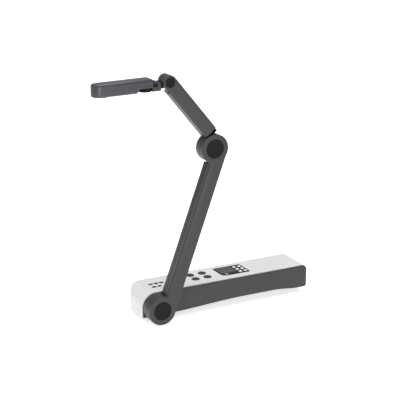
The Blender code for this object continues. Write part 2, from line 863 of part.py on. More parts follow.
wrist_pin = cylinder(
    "wrist_pin",
    WRIST_PIN_RADIUS,
    "Y",
    (0, 0),
    (wrist_front + PIN_HEAD, KNUCKLE_BACK - 1 * MM),
    STEEL,
    wrist,
    20,
)
wrist_pin_head = cylinder(
    "wrist_pin_head",
    WRIST_PIN_HEAD_RADIUS,
    "Y",
    (0, 0),
    (wrist_front, wrist_front + PIN_HEAD),
    sides=28,
)
join(wrist_pin, wrist_pin_head)
wrist_nut = cylinder(
    "wrist_nut",
    WRIST_PIN_HEAD_RADIUS,
    "Y",
    (0, 0),
    (KNUCKLE_BACK - WRIST_NUT, KNUCKLE_BACK - 0.5 * MM),
    STEEL,
    wrist,
    6,
)
nut_hole = cylinder("wrist_nut_hole", WRIST_PIN_RADIUS + TOUCH, "Y", (0, 0), (0, BAR_BACK * 2), sides=20)
cut(wrist_nut, nut_hole)

# The neck's lower corner comes to rest on this bumper when the head is tipped right down.
bumper = cylinder(
    "fold_bumper",
    BUMPER_RADIUS,
    "Z",
    (0, 0),
    (-BUMPER_PROUD, BUMPER_SEAT - TOUCH),
    RUBBER,
    None,
    20,
)
soften(bumper, 0.5 * MM, 2)
bumper_seat = cylinder(
    "bumper_seat", BUMPER_RADIUS + TOUCH, "Z", (0, 0), (-WALL, BUMPER_SEAT), sides=20
)
cut(upper_front, bumper_seat)
for piece in (bumper, bumper_seat):
    piece.parent = elbow
    piece.location = (BAR_OFFSET, PLATE_FRONT + FRONT_SHELL / 2, UPPER_ARM - BUMPER_BEFORE_WRIST)
    piece.rotation_euler = (0, pi / 2, 0)

# The swivel plate is screwed to the neck, and the head turns on it.
swivel_plate = cylinder(
    "swivel_plate",
    SWIVEL_RADIUS,
    "Z",
    (0, 0),
    (NECK_BOTTOM, SWIVEL_TOP),
    BLACK_PLASTIC,
    None,
    40,
)
swivel_tongue = box(
    "swivel_tongue",
    (0, NECK_FACE - TOUCH),
    (-SWIVEL_TONGUE / 2, SWIVEL_TONGUE / 2),
    (NECK_BOTTOM, SWIVEL_TOP),
)
join(swivel_plate, swivel_tongue)
soften(swivel_plate, 0.5 * MM, 1, 50)
swivel_seat = cylinder(
    "swivel_seat",
    SWIVEL_PIN_HEAD_RADIUS + TOUCH,
    "Z",
    (0, 0),
    (NECK_BOTTOM - WALL, NECK_BOTTOM + PIN_HEAD),
    sides=28,
)
swivel_bore = cylinder(
    "swivel_bore", SWIVEL_PIN_RADIUS + TOUCH, "Z", (0, 0), (NECK_BOTTOM, SWIVEL_TOP + WALL), sides=20
)
cut(swivel_plate, swivel_seat, swivel_bore)
HEEL_FLOOR = SWIVEL_TOP + TOUCH  # underside of the head over the swivel plate
swivel_nut_bottom = HEEL_FLOOR + HEEL_WALL + TOUCH
swivel_pin = cylinder(
    "swivel_pin",
    SWIVEL_PIN_RADIUS,
    "Z",
    (0, 0),
    (NECK_BOTTOM + PIN_HEAD - TOUCH, swivel_nut_bottom + SWIVEL_NUT + 1 * MM),
    STEEL,
    None,
    20,
)
swivel_pin_head = cylinder(
    "swivel_pin_head",
    SWIVEL_PIN_HEAD_RADIUS,
    "Z",
    (0, 0),
    (NECK_BOTTOM + TOUCH, NECK_BOTTOM + PIN_HEAD - TOUCH),
    sides=28,
)
join(swivel_pin, swivel_pin_head)
for piece in (swivel_plate, swivel_tongue, swivel_seat, swivel_bore, swivel_pin, swivel_pin_head):
    piece.parent = wrist
    piece.location = (-SWIVEL_REACH, 0, 0)


# Head

HEAD_LOW = -HEAD_BOTTOM
HEAD_TOP = HEAD_LOW + HEAD_HEIGHT
HEAD_TIP = HEAD_HEEL - HEAD_LENGTH
SPLIT = HEAD_LOW + HEAD_SPLIT


def head_outline(inset):
    """The head from above: a round tip, straight sides and a heel that turns about the swivel."""
    half = HEAD_WIDTH / 2 - inset
    heel = HEAD_HEEL - inset
    swing = 180 / pi * asin(half / heel)
    points = arc((HEAD_TIP + HEAD_WIDTH / 2, 0), half, 90, 270, 16)
    points += arc((0, 0), heel, -swing, swing, 8)
    return points


def head_shell(name, low, high):
    """One of the two shells: the whole head, rounded all over, cut down to a slice and hollowed."""
    shell = prism(name, head_outline(0), "Z", (HEAD_LOW, HEAD_TOP), HEAD_PLASTIC, swivel)
    soften(shell, HEAD_EDGE, 4, 50)
    back_slope = prism(
        name + "_slope",
        [
            (HEAD_SLOPE_START, HEAD_TOP + WALL),
            (HEAD_SLOPE_START, HEAD_TOP),
            (HEAD_HEEL + WALL, HEAD_TOP - HEAD_SLOPE_DROP),
            (HEAD_HEEL + WALL, HEAD_TOP + WALL),
        ],
        "Y",
        (-HEAD_WIDTH, HEAD_WIDTH),
    )
    heel_step = prism(
        name + "_heel_step",
        [
            (-HEEL_STEP - HEEL_SLOPE, HEAD_LOW - WALL),
            (HEAD_HEEL + WALL, HEAD_LOW - WALL),
            (HEAD_HEEL + WALL, HEEL_FLOOR),
            (-HEEL_STEP, HEEL_FLOOR),
            (-HEEL_STEP - HEEL_SLOPE, HEAD_LOW),
        ],
        "Y",
        (-HEAD_WIDTH, HEAD_WIDTH),
    )
    keep = box(
        name + "_slice", (-HEAD_LENGTH, HEAD_LENGTH), (-HEAD_WIDTH, HEAD_WIDTH), (low, high)
    )
    cut(shell, back_slope, heel_step)
    keep.parent = swivel
    boolean(shell, keep, "INTERSECT")
    return shell


head_top = head_shell("head_top_shell", SPLIT + TOUCH / 2, HEAD_TOP + WALL)
top_hollow = prism(
    "head_top_hollow", head_outline(HEAD_WALL), "Z", (SPLIT - WALL, HEAD_TOP - HEAD_ROOF)
)
soften(top_hollow, 1.5 * MM, 1, 50)
cut(head_top, top_hollow)
head_bottom = head_shell("head_bottom_shell", HEAD_LOW - WALL, SPLIT - TOUCH / 2)
bottom_hollow = prism(
    "head_bottom_hollow", head_outline(HEAD_WALL), "Z", (HEAD_LOW + HEAD_WALL, SPLIT + WALL)
)
soften(bottom_hollow, 2 * MM, 1, 50)
heel_floor = box(
    "heel_floor",
    (-HEEL_STEP - HEEL_SLOPE - HEEL_WALL, HEAD_LENGTH),
    (-HEAD_WIDTH, HEAD_WIDTH),
    (HEAD_LOW - WALL, HEEL_FLOOR + HEEL_WALL),
)
heel_floor.parent = swivel
boolean(bottom_hollow, heel_floor, "DIFFERENCE")
cut(head_bottom, bottom_hollow)
head_bore = cylinder(
    "head_bore", SWIVEL_PIN_RADIUS + RUNNING, "Z", (0, 0), (HEEL_FLOOR - WALL, SPLIT + WALL), sides=20
)
cut(head_bottom, head_bore)
swivel_nut = cylinder(
    "swivel_nut",
    SWIVEL_PIN_HEAD_RADIUS,
    "Z",
    (0, 0),
    (swivel_nut_bottom, swivel_nut_bottom + SWIVEL_NUT),
    STEEL,
    wrist,
    6,
)
swivel_nut_hole = cylinder(
    "swivel_nut_hole", SWIVEL_PIN_RADIUS + TOUCH, "Z", (0, 0), (HEAD_LOW, HEAD_TOP), sides=20
)
cut(swivel_nut, swivel_nut_hole)
for piece in (swivel_nut, swivel_nut_hole):
    piece.location = (-SWIVEL_REACH, 0, 0)

LENS_X = HEAD_TIP + LENS_BEHIND_TIP
LENS_TOP = HEAD_LOW + HEAD_WALL + 1 * MM
lens_bezel = cylinder(
    "lens_bezel",
    LENS_RADIUS + LENS_RIM,
    "Z",
    (LENS_X, 0),
    (HEAD_LOW - LENS_PROUD, LENS_TOP),
    BLACK_PLASTIC,
    swivel,
    40,
)
bezel_mouth = cylinder(
    "bezel_mouth",
    (LENS_RADIUS, LENS_RADIUS - 1.2 * MM),
    "Z",
    (LENS_X, 0),
    (HEAD_LOW - LENS_PROUD - 0.1 * MM, LENS_TOP + 0.1 * MM),
    sides=40,
)
bezel_ledge = cylinder(
    "bezel_ledge", LENS_RADIUS, "Z", (LENS_X, 0), (LENS_TOP - LENS_GLASS - TOUCH, LENS_TOP + WALL)
)
cut(lens_bezel, bezel_mouth, bezel_ledge)
cylinder(
    "lens_glass",
    LENS_RADIUS - TOUCH,
    "Z",
    (LENS_X, 0),
    (LENS_TOP - LENS_GLASS, LENS_TOP),
    GLASS,
    swivel,
    40,
)
bezel_hole = cylinder(
    "bezel_hole", LENS_RADIUS + LENS_RIM + TOUCH, "Z", (LENS_X, 0), (HEAD_LOW - WALL, SPLIT)
)
CAMERA_BOTTOM = LENS_TOP + TOUCH
camera = cylinder(
    "camera_module",
    CAMERA_RADIUS,
    "Z",
    (LENS_X, 0),
    (CAMERA_BOTTOM, CAMERA_BOTTOM + CAMERA_HEIGHT),
    BLACK_PLASTIC,
    swivel,
    32,
)
camera_board = box(
    "camera_board",
    (LENS_X - CAMERA_BOARD / 2, LENS_X + CAMERA_BOARD / 2),
    (-CAMERA_BOARD / 2, CAMERA_BOARD / 2),
    (CAMERA_BOTTOM + CAMERA_HEIGHT - 1.2 * MM, CAMERA_BOTTOM + CAMERA_HEIGHT),
)
join(camera, camera_board)
LAMP_X = HEAD_TIP + LAMP_BEHIND_TIP
lamp = box(
    "lamp_window",
    (LAMP_X - LAMP_LENGTH / 2, LAMP_X + LAMP_LENGTH / 2),
    (-LAMP_WIDTH / 2, LAMP_WIDTH / 2),
    (HEAD_LOW, HEAD_LOW + HEAD_WALL),
    LAMP_LENS,
    swivel,
)
soften(lamp, 0.3 * MM, 1)
lamp_hole = box(
    "lamp_hole",
    (LAMP_X - LAMP_LENGTH / 2 - TOUCH, LAMP_X + LAMP_LENGTH / 2 + TOUCH),
    (-LAMP_WIDTH / 2 - TOUCH, LAMP_WIDTH / 2 + TOUCH),
    (HEAD_LOW - WALL, HEAD_LOW + HEAD_WALL + WALL),
)
cut(head_bottom, bezel_hole, lamp_hole)


# Keys, display panel and sockets of the base

KEY_ROOF = BASE_TOP - WALL  # underside of the top cover


def key(name, place, size, proud, material):
    """A key with a retaining flange under the cover. A round one has one size, others have two."""
    x, y = place
    flange = (KEY_ROOF - TOUCH - KEY_FLANGE, KEY_ROOF - TOUCH)
    body = (KEY_ROOF - TOUCH - KEY_FLANGE / 2, BASE_TOP + proud)
    opening = (KEY_ROOF - WALL, BASE_TOP + WALL)
    if len(size) == 1:
        made = cylinder(name, size[0], "Z", place, body, material, None, 32)
        skirt = cylinder(name + "_flange", size[0] + KEY_FLANGE, "Z", place, flange, sides=32)
        hole = cylinder(name + "_hole", size[0] + KEY_GAP, "Z", place, opening, sides=32)
    else:

        def block(label, grow, height, block_material=None):
            half, wide = size[0] / 2 + grow, size[1] / 2 + grow
            return box(label, (x - half, x + half), (y - wide, y + wide), height, block_material)

        made = block(name, 0, body, material)
        skirt = block(name + "_flange", KEY_FLANGE, flange)
        hole = block(name + "_hole", KEY_GAP, opening)
    stem_span = (KEY_STEM_BOTTOM, KEY_ROOF - KEY_FLANGE)
    stem = cylinder(name + "_stem", KEY_STEM_RADIUS, "Z", place, stem_span, sides=12)
    soften(made, KEY_EDGE, 2, 50)
    join(made, skirt, stem)
    cut(top_cover, hole)
    return hole


display_front = PANEL_FRONT + DISPLAY_Y
small = 1.5 * MM  # radius of the panel's other three corners


def display_outline(inset):
    """The display panel from above: its front left corner is the only large round one."""
    left = DISPLAY_X + inset
    right = DISPLAY_X + DISPLAY_LENGTH - inset
    front = display_front + inset
    back = display_front + DISPLAY_WIDTH - inset
    big = DISPLAY_CORNER - inset
    points = arc((right - small, back - small), small, 0, 90, 3)
    points += arc((left + small, back - small), small, 90, 180, 3)
    points += arc((left + big, front + big), big, 180, 270, 8)
    points += arc((right - small, front + small), small, 270, 360, 3)
    return points


display = prism(
    "display_panel",
    display_outline(0),
    "Z",
    (BASE_TOP + DISPLAY_PROUD - DISPLAY, BASE_TOP + DISPLAY_PROUD),
    BLACK_PLASTIC,
)
display_seat = prism(
    "display_seat",
    display_outline(-TOUCH),
    "Z",
    (BASE_TOP + DISPLAY_PROUD - DISPLAY - TOUCH, BASE_TOP + WALL),
)
cut(top_cover, display_seat)
for column in range(2):
    for row in range(2):
        place = (
            ROUND_KEYS_X + column * ROUND_KEY_PITCH_X,
            PANEL_FRONT + ROUND_KEYS_Y + row * ROUND_KEY_PITCH_Y,
        )
        name = f"round_key_{column * 2 + row + 1}"
        key(name, place, (ROUND_KEY_RADIUS,), ROUND_KEY_PROUD, DARK_GREY_PLASTIC)
small_places = [(0, 0), (1, 0), (0, 1), (1, 1), (2, 1)]
for number, (column, row) in enumerate(small_places):
    place = (
        SMALL_KEYS_X + column * SMALL_KEY_PITCH,
        PANEL_FRONT + SMALL_KEYS_Y + row * SMALL_KEY_ROWS,
    )
    size = (SMALL_KEY_LENGTH, SMALL_KEY_WIDTH)
    key(f"small_key_{number + 1}", place, size, SMALL_KEY_PROUD, DARK_GREY_PLASTIC)
for number in range(6):
    place = (
        DISPLAY_X + PANEL_KEYS_X + number % 2 * PANEL_KEY_PITCH_X,
        display_front + PANEL_KEYS_Y + number // 2 * PANEL_KEY_PITCH_Y,
    )
    size = (PANEL_KEY_SIZE, PANEL_KEY_SIZE)
    hole = key(f"panel_key_{number + 1}", place, size, PANEL_KEY_PROUD, WHITE_PLASTIC)
    cut(display, hole)

SOCKET_TOP = board_top - BOARD_THICKNESS - TOUCH
SOCKET_BACK = BASE_BACK + 0.3 * MM
SOCKETS = {
    "usb_socket": (USB_X, USB_WIDTH, USB_HEIGHT),
    "power_socket": (POWER_X, POWER_SIZE, POWER_SIZE),
}
for name, (along, width, height) in SOCKETS.items():
    sides = (along - width / 2, along + width / 2)
    bottom = SOCKET_TOP - height
    socket = box(name, sides, (SOCKET_BACK - SOCKET_DEPTH, SOCKET_BACK), (bottom, SOCKET_TOP), STEEL)
    if name == "usb_socket":
        mouth = box(
            "usb_mouth",
            (sides[0] + SOCKET_WALL, sides[1] - SOCKET_WALL),
            (SOCKET_BACK - SOCKET_DEPTH + SOCKET_WALL, SOCKET_BACK + WALL),
            (bottom + SOCKET_WALL, SOCKET_TOP - SOCKET_WALL),
        )
    else:
        mouth = cylinder(
            "power_mouth",
            POWER_BORE_RADIUS,
            "Y",
            (along, SOCKET_TOP - height / 2),
            (SOCKET_BACK - SOCKET_DEPTH + SOCKET_WALL * 2, SOCKET_BACK + WALL),
            sides=24,
        )
    cut(socket, mouth)
    opening = box(
        name + "_opening",
        (sides[0] - TOUCH, sides[1] + TOUCH),
        (BASE_BACK - WALL * 2, BASE_BACK + WALL),
        (bottom - TOUCH, SOCKET_TOP + TOUCH),
    )
    cut(top_cover, opening)
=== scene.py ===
import json
from math import asin, atan2, cos, pi, radians, sin, tau

import bmesh
import bpy
from mathutils import Matrix, Vector


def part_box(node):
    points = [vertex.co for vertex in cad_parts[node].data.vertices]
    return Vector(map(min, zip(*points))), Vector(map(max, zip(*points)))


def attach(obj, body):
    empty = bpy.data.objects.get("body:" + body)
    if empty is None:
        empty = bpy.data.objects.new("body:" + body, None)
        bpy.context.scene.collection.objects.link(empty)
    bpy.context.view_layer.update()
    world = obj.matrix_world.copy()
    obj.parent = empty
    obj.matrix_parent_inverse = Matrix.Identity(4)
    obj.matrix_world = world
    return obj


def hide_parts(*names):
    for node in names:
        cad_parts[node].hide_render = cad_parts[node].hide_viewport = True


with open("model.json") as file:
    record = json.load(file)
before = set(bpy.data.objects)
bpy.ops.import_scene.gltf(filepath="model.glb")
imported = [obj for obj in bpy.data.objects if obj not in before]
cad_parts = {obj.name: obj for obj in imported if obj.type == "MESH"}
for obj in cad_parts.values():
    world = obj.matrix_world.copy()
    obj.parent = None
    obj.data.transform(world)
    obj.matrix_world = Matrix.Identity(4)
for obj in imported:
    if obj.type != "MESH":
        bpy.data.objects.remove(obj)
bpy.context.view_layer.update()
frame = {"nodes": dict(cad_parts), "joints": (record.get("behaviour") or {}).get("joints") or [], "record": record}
MM = 0.001

# Table, lights and camera
# The document camera stands on a plain pale table top under one broad soft light above and to
# the left, with the white room filling in the rest.
VIEW_CENTRE = Vector((0.07535, 0.00359, 0.18965))
VIEW_DISTANCE = 2.337
VIEW_AZIMUTH = radians(-28)
VIEW_RISE = radians(17.36)
LENS = 135
SENSOR_WIDTH = 36
FARTHEST = 100
TABLE_REACH = 30

world = bpy.data.worlds.new("white_room")
world.use_nodes = True
bpy.context.scene.world = world
backdrop = world.node_tree.nodes["Background"]
backdrop.inputs["Color"].default_value = (1.0, 1.0, 1.0, 1.0)
backdrop.inputs["Strength"].default_value = 0.5
bpy.context.scene.view_settings.view_transform = "Standard"

table_mesh = bmesh.new()
bmesh.ops.create_grid(table_mesh, x_segments=2, y_segments=2, size=TABLE_REACH)
table_data = bpy.data.meshes.new("table_top")
table_mesh.to_mesh(table_data)
table_mesh.free()
table_top = bpy.data.objects.new("table_top", table_data)
bpy.context.scene.collection.objects.link(table_top)
table_paint = bpy.data.materials.new("table_paint")
table_paint.use_nodes = True
table_shader = table_paint.node_tree.nodes["Principled BSDF"]
table_shader.inputs["Base Color"].default_value = (0.93, 0.93, 0.93, 1.0)
table_shader.inputs["Roughness"].default_value = 0.9
table_shader.inputs["Specular IOR Level"].default_value = 0.1
table_shader.inputs["Emission Color"].default_value = (1.0, 1.0, 1.0, 1.0)
table_shader.inputs["Emission Strength"].default_value = 0.68
table_data.materials.append(table_paint)


def soft_light(name, place, target, size, power):
    lamp = bpy.data.lights.new(name, "AREA")
    lamp.shape = "DISK"
    lamp.size = size
    lamp.energy = power
    item = bpy.data.objects.new(name, lamp)
    bpy.context.scene.collection.objects.link(item)
    item.location = place
    aim = Vector(target) - Vector(place)
    item.rotation_euler = aim.to_track_quat("-Z", "Y").to_euler()


soft_light("overhead_softbox", (0.35, 0.15, 1.9), (0.07, 0.03, 0.1), 1.3, 26)
soft_light("left_softbox", (-1.0, -0.1, 1.7), (0.0, 0, 0.2), 0.9, 9)
soft_light("front_softbox", (-0.12, -1.3, 0.15), (-0.09, 0, 0.386), 0.8, 7.5)

backward = Vector(
    (sin(VIEW_AZIMUTH) * cos(VIEW_RISE), -cos(VIEW_AZIMUTH) * cos(VIEW_RISE), sin(VIEW_RISE))
)
camera_data = bpy.data.cameras.new("view")
camera_data.lens = LENS
camera_data.sensor_width = SENSOR_WIDTH
camera_data.clip_end = FARTHEST
camera = bpy.data.objects.new("view", camera_data)
bpy.context.scene.collection.objects.link(camera)
camera.location = VIEW_CENTRE + backward * VIEW_DISTANCE
camera.rotation_euler = backward.to_track_quat("Z", "Y").to_euler()
bpy.context.scene.camera = camera

# Top cover of the base
# One injection-moulded shell in white ABS with a fine spark-eroded texture. Its left end is a
# half barrel round the shoulder hinge, and the back corners are rounded in plan.
cover_low, cover_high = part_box("base_top_cover")
hinge = {entry["name"]: Vector(entry.get("pos_m", (0, 0, 0))) for entry in frame["joints"]}
shoulder_at = hinge["shoulder_hinge"]
COVER_END_RADIUS = 8 * MM
COVER_PLAN_RADIUS = 24 * MM
COVER_EDGE = 1.6 * MM
COVER_WALL = 2.4 * MM
WHITE = (0.60, 0.60, 0.59)


def arc(centre, radius, start, end, steps):
    """Points round part of a circle, with the angles in degrees."""
    turns = [radians(start + (end - start) * step / steps) for step in range(steps + 1)]
    return [(centre[0] + radius * cos(turn), centre[1] + radius * sin(turn)) for turn in turns]


def piece_of(name, shape):
    """Turns a bmesh into a new object in the scene."""
    bmesh.ops.recalc_face_normals(shape, faces=shape.faces)
    mesh = bpy.data.meshes.new(name)
    shape.to_mesh(mesh)
    shape.free()
    item = bpy.data.objects.new(name, mesh)
    bpy.context.scene.collection.objects.link(item)
    return item


def slab(name, outline, along, low, high):
    """A flat outline given thickness along X, Y or Z."""
    shape = bmesh.new()
    rings = []
    for level in (low, high):
        ring = []
        for across, up in outline:
            spots = {"X": (level, across, up), "Y": (across, level, up), "Z": (across, up, level)}
            ring.append(shape.verts.new(spots[along]))
        shape.faces.new(ring)
        rings.append(ring)
    for spot in range(len(outline)):
        after = (spot + 1) % len(outline)
        shape.faces.new((rings[0][spot], rings[0][after], rings[1][after], rings[1][spot]))
    return piece_of(name, shape)


def settle(item):
    """Bakes an object's modifiers into its mesh."""
    bpy.context.view_layer.update()
    graph = bpy.context.evaluated_depsgraph_get()
    mesh = bpy.data.meshes.new_from_object(item.evaluated_get(graph))
    item.modifiers.clear()
    item.data = mesh
    return item


def carve(item, operation, *tools):
    """Cuts the tools out of a piece, or joins or intersects it with them, and clears them away."""
    for tool in tools:
        change = item.modifiers.new("carve", "BOOLEAN")
        change.operation = operation
        change.object = tool
        change.solver = "EXACT"
        settle(item)
        bpy.data.objects.remove(tool, do_unlink=True)
    return item


def rounded(item, width, steps=3, angle=40):
    """Rounds the edges that turn by more than the angle."""
    change = item.modifiers.new("rounded", "BEVEL")
    change.width = width
    change.segments = steps
    change.limit_method = "ANGLE"
    change.angle_limit = radians(angle)
    return settle(item)


CLOUD_SCALE = 28
SCUFF_SCALE = 160
GRAIN_SCALE = 2200
WORN_EDGE = 0.9 * MM
GLOSS_SPREAD = 0.06


def plastic(name, colour, roughness, grain=0.03, tone=0.05, wear=0.25, gleam=0.3, metallic=0.0):
    """Moulded plastic: a fine texture, slow changes of tone and gloss, and paler handled edges."""
    made = bpy.data.materials.new(name)
    made.use_nodes = True
    nodes, links = made.node_tree.nodes, made.node_tree.links
    shader = nodes["Principled BSDF"]
    shader.inputs["Metallic"].default_value = metallic
    shader.inputs["Specular IOR Level"].default_value = gleam
    where = nodes.new("ShaderNodeTexCoord")
    cloud = nodes.new("ShaderNodeTexNoise")
    cloud.inputs["Scale"].default_value = CLOUD_SCALE
    cloud.inputs["Detail"].default_value = 4
    links.new(where.outputs["Object"], cloud.inputs["Vector"])
    tones = nodes.new("ShaderNodeValToRGB")
    tones.color_ramp.elements[0].position = 0.3
    tones.color_ramp.elements[0].color = (*[c * (1 - tone) for c in colour], 1)
    tones.color_ramp.elements[1].position = 0.7
    tones.color_ramp.elements[1].color = (*[c * (1 + tone) for c in colour], 1)
    links.new(cloud.outputs["Fac"], tones.inputs["Fac"])
    corner = nodes.new("ShaderNodeBevel")
    corner.samples = 4
    corner.inputs["Radius"].default_value = WORN_EDGE
    surface = nodes.new("ShaderNodeNewGeometry")
    turn = nodes.new("ShaderNodeVectorMath")
    turn.operation = "DOT_PRODUCT"
    links.new(corner.outputs["Normal"], turn.inputs[0])
    links.new(surface.outputs["Normal"], turn.inputs[1])
    edge = nodes.new("ShaderNodeMapRange")
    edge.inputs["From Min"].default_value = 0.995
    edge.inputs["From Max"].default_value = 0.93
    edge.inputs["To Max"].default_value = wear
    links.new(turn.outputs["Value"], edge.inputs["Value"])
    scuffs = nodes.new("ShaderNodeTexNoise")
    scuffs.inputs["Scale"].default_value = SCUFF_SCALE
    scuffs.inputs["Detail"].default_value = 3
    links.new(where.outputs["Object"], scuffs.inputs["Vector"])
    rubbed = nodes.new("ShaderNodeMath")
    rubbed.operation = "MULTIPLY"
    links.new(edge.outputs["Result"], rubbed.inputs[0])
    links.new(scuffs.outputs["Fac"], rubbed.inputs[1])
    worn = nodes.new("ShaderNodeMix")
    worn.data_type = "RGBA"
    worn.inputs["B"].default_value = (*[min(1.0, c * 1.5 + 0.04) for c in colour], 1)
    links.new(rubbed.outputs["Value"], worn.inputs["Factor"])
    links.new(tones.outputs["Color"], worn.inputs["A"])
    links.new(worn.outputs["Result"], shader.inputs["Base Color"])
    gloss = nodes.new("ShaderNodeMapRange")
    gloss.inputs["To Min"].default_value = roughness - GLOSS_SPREAD
    gloss.inputs["To Max"].default_value = roughness + GLOSS_SPREAD
    links.new(scuffs.outputs["Fac"], gloss.inputs["Value"])
    links.new(gloss.outputs["Result"], shader.inputs["Roughness"])
    texture = nodes.new("ShaderNodeTexNoise")
    texture.inputs["Scale"].default_value = GRAIN_SCALE
    texture.inputs["Detail"].default_value = 2
    links.new(where.outputs["Object"], texture.inputs["Vector"])
    relief = nodes.new("ShaderNodeBump")
    relief.inputs["Strength"].default_value = 0.35
    relief.inputs["Distance"].default_value = grain * MM
    links.new(texture.outputs["Fac"], relief.inputs["Height"])
    links.new(relief.outputs["Normal"], shader.inputs["Normal"])
    return made


def fit(item, material, slot, body, *nodes, place=None, angle=32):
    """Puts a piece in its place on its body, with smooth faces up to the angle."""
    item.data.materials.clear()
    item.data.materials.append(material)
    item.data.shade_smooth()
    item.data.set_sharp_from_angle(angle=radians(angle))
    if place is not None:
        item.matrix_world = place
    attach(item, body)
    if nodes:
        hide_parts(*nodes)
    return item


HEEL_BOTTOM = 8.2 * MM
HEEL_END = 18 * MM
ARCH_BOTTOM = 13.2 * MM
ARCH_START = 160 * MM
ARCH_END = 62 * MM
TOE_BOTTOM = 9.4 * MM
TOE_LENGTH = 14 * MM
TOE_RADIUS = 4 * MM


def eased(start, end, steps):
    """An S-shaped line between two points, level at both ends."""
    shares = [step / steps for step in range(steps + 1)]
    return [
        (start[0] + (end[0] - start[0]) * t, start[1] + (end[1] - start[1]) * t * t * (3 - 2 * t))
        for t in shares
    ]


def cover_side(inset, arched=True):
    """The base from the front: a long box whose left end turns round the shoulder hinge."""
    radius = cover_high.z - shoulder_at.z - inset
    right = cover_high.x - inset
    corner = COVER_END_RADIUS - inset
    top = arc((right - corner, cover_high.z - inset - corner), corner, 0, 90, 12)
    top += arc((0, shoulder_at.z), radius, 90, 180, 36)
    if not arched:
        return [(right, 0)] + top + [(-radius, 0)]
    points = arc((right - TOE_RADIUS, TOE_BOTTOM + TOE_RADIUS), TOE_RADIUS, 270, 360, 8) + top
    points += [(-radius, HEEL_BOTTOM)]
    points += eased((HEEL_END, HEEL_BOTTOM), (ARCH_START, ARCH_BOTTOM), 24)
    points += eased(
        (cover_high.x - ARCH_END, ARCH_BOTTOM), (cover_high.x - TOE_LENGTH, TOE_BOTTOM), 16
    )
    return points


def cover_plan(inset, front):
    """The base from above: its back corners are rounded, the left one much more."""
    left = cover_low.x + inset
    right = cover_high.x - inset
    back = cover_high.y - inset
    big = COVER_PLAN_RADIUS - inset
    small = COVER_END_RADIUS - inset
    points = [(left, front), (right, front)]
    points += arc((right - small, back - small), small, 0, 90, 12)
    points += arc((left + big, back - big), big, 90, 180, 32)
    return points


white_abs = plastic("white_abs", WHITE, 0.42, tone=0.015, wear=0.1)
top_cover = slab("top_cover", cover_side(0), "Y", cover_low.y, cover_high.y)
outer_plan = slab("plan", cover_plan(0, cover_low.y), "Z", 0, cover_high.z + COVER_WALL)
carve(top_cover, "INTERSECT", outer_plan)
rounded(top_cover, COVER_EDGE, 5, 50)
hollow_front = cover_low.y - COVER_WALL
hollow_back = cover_high.y - COVER_WALL
cover_hollow = slab("hollow", cover_side(COVER_WALL, False), "Y", hollow_front, hollow_back)
inner_plan = slab("plan", cover_plan(COVER_WALL, hollow_front), "Z", -COVER_WALL, cover_high.z)
carve(cover_hollow, "INTERSECT", inner_plan)
carve(top_cover, "DIFFERENCE", cover_hollow)

# Front side panel
# A separate dark grey moulding that clips along the front of the base, behind the shoulder drum.
# Its bottom edge is arched, and its top edge has a small round that catches the light.
panel_low, panel_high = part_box("front_side_panel")
PANEL_STEP = cover_high.z - panel_high.z
PANEL_EDGE = 0.9 * MM
DARK_GREY = (0.034, 0.034, 0.035)
dark_grey = plastic("dark_grey_abs", DARK_GREY, 0.46)
side_panel = slab("side_panel", cover_side(PANEL_STEP), "Y", panel_low.y, panel_high.y)
rounded(side_panel, PANEL_EDGE, 4, 50)
fit(side_panel, dark_grey, "grey_plastic", "base", "front_side_panel")

# Bottom tray, ballast screws and main board
# The tray is moulded in the same grey, and its belly slopes up to the edges. Two zinc-plated
# cross-head screws hold the steel ballast plate inside it, and the board stands above that.


def repaint(node, material):
    """A carried-over CAD piece takes this material on all of its faces."""
    item = frame["nodes"][node]
    item.data.materials.clear()
    item.data.materials.append(material)
    for face in item.data.polygons:
        face.material_index = 0
    item.data.shade_smooth()
    item.data.set_sharp_from_angle(angle=radians(32))
    return item


def metal(name, colour, roughness, stretch=(1, 1, 1)):
    """Plated or brushed metal, with fine lines along the stretched direction."""
    made = bpy.data.materials.new(name)
    made.use_nodes = True
    nodes, links = made.node_tree.nodes, made.node_tree.links
    shader = nodes["Principled BSDF"]
    shader.inputs["Metallic"].default_value = 1.0
    shader.inputs["Base Color"].default_value = (*colour, 1)
    where = nodes.new("ShaderNodeTexCoord")
    along = nodes.new("ShaderNodeMapping")
    along.inputs["Scale"].default_value = stretch
    lines = nodes.new("ShaderNodeTexNoise")
    lines.inputs["Scale"].default_value = 900
    lines.inputs["Detail"].default_value = 4
    links.new(where.outputs["Object"], along.inputs["Vector"])
    links.new(along.outputs["Vector"], lines.inputs["Vector"])
    gloss = nodes.new("ShaderNodeMapRange")
    gloss.inputs["To Min"].default_value = roughness - 0.1
    gloss.inputs["To Max"].default_value = roughness + 0.12
    links.new(lines.outputs["Fac"], gloss.inputs["Value"])
    links.new(gloss.outputs["Result"], shader.inputs["Roughness"])
    relief = nodes.new("ShaderNodeBump")
    relief.inputs["Strength"].default_value = 0.2
    relief.inputs["Distance"].default_value = 0.01 * MM
    links.new(lines.outputs["Fac"], relief.inputs["Height"])
    links.new(relief.outputs["Normal"], shader.inputs["Normal"])
    return made


zinc = metal("zinc_plate", (0.62, 0.62, 0.63), 0.34)
rolled_steel = metal("rolled_steel", (0.42, 0.42, 0.44), 0.4, (0.05, 1, 1))
green_board = plastic("solder_resist", (0.015, 0.13, 0.05), 0.35, tone=0.15)
repaint("base_bottom_tray", dark_grey)
repaint("ballast_plate", rolled_steel)
repaint("main_board", green_board)


CROSS_LENGTH = 0.62
CROSS_WIDTH = 0.16
CROSS_DEPTH = 0.6
SCREW_RADIUS = 2.6 * MM
TRAY_SCREW_DEPTH = 1.2 * MM
TRAY_SCREW_PROUD = 0.05 * MM


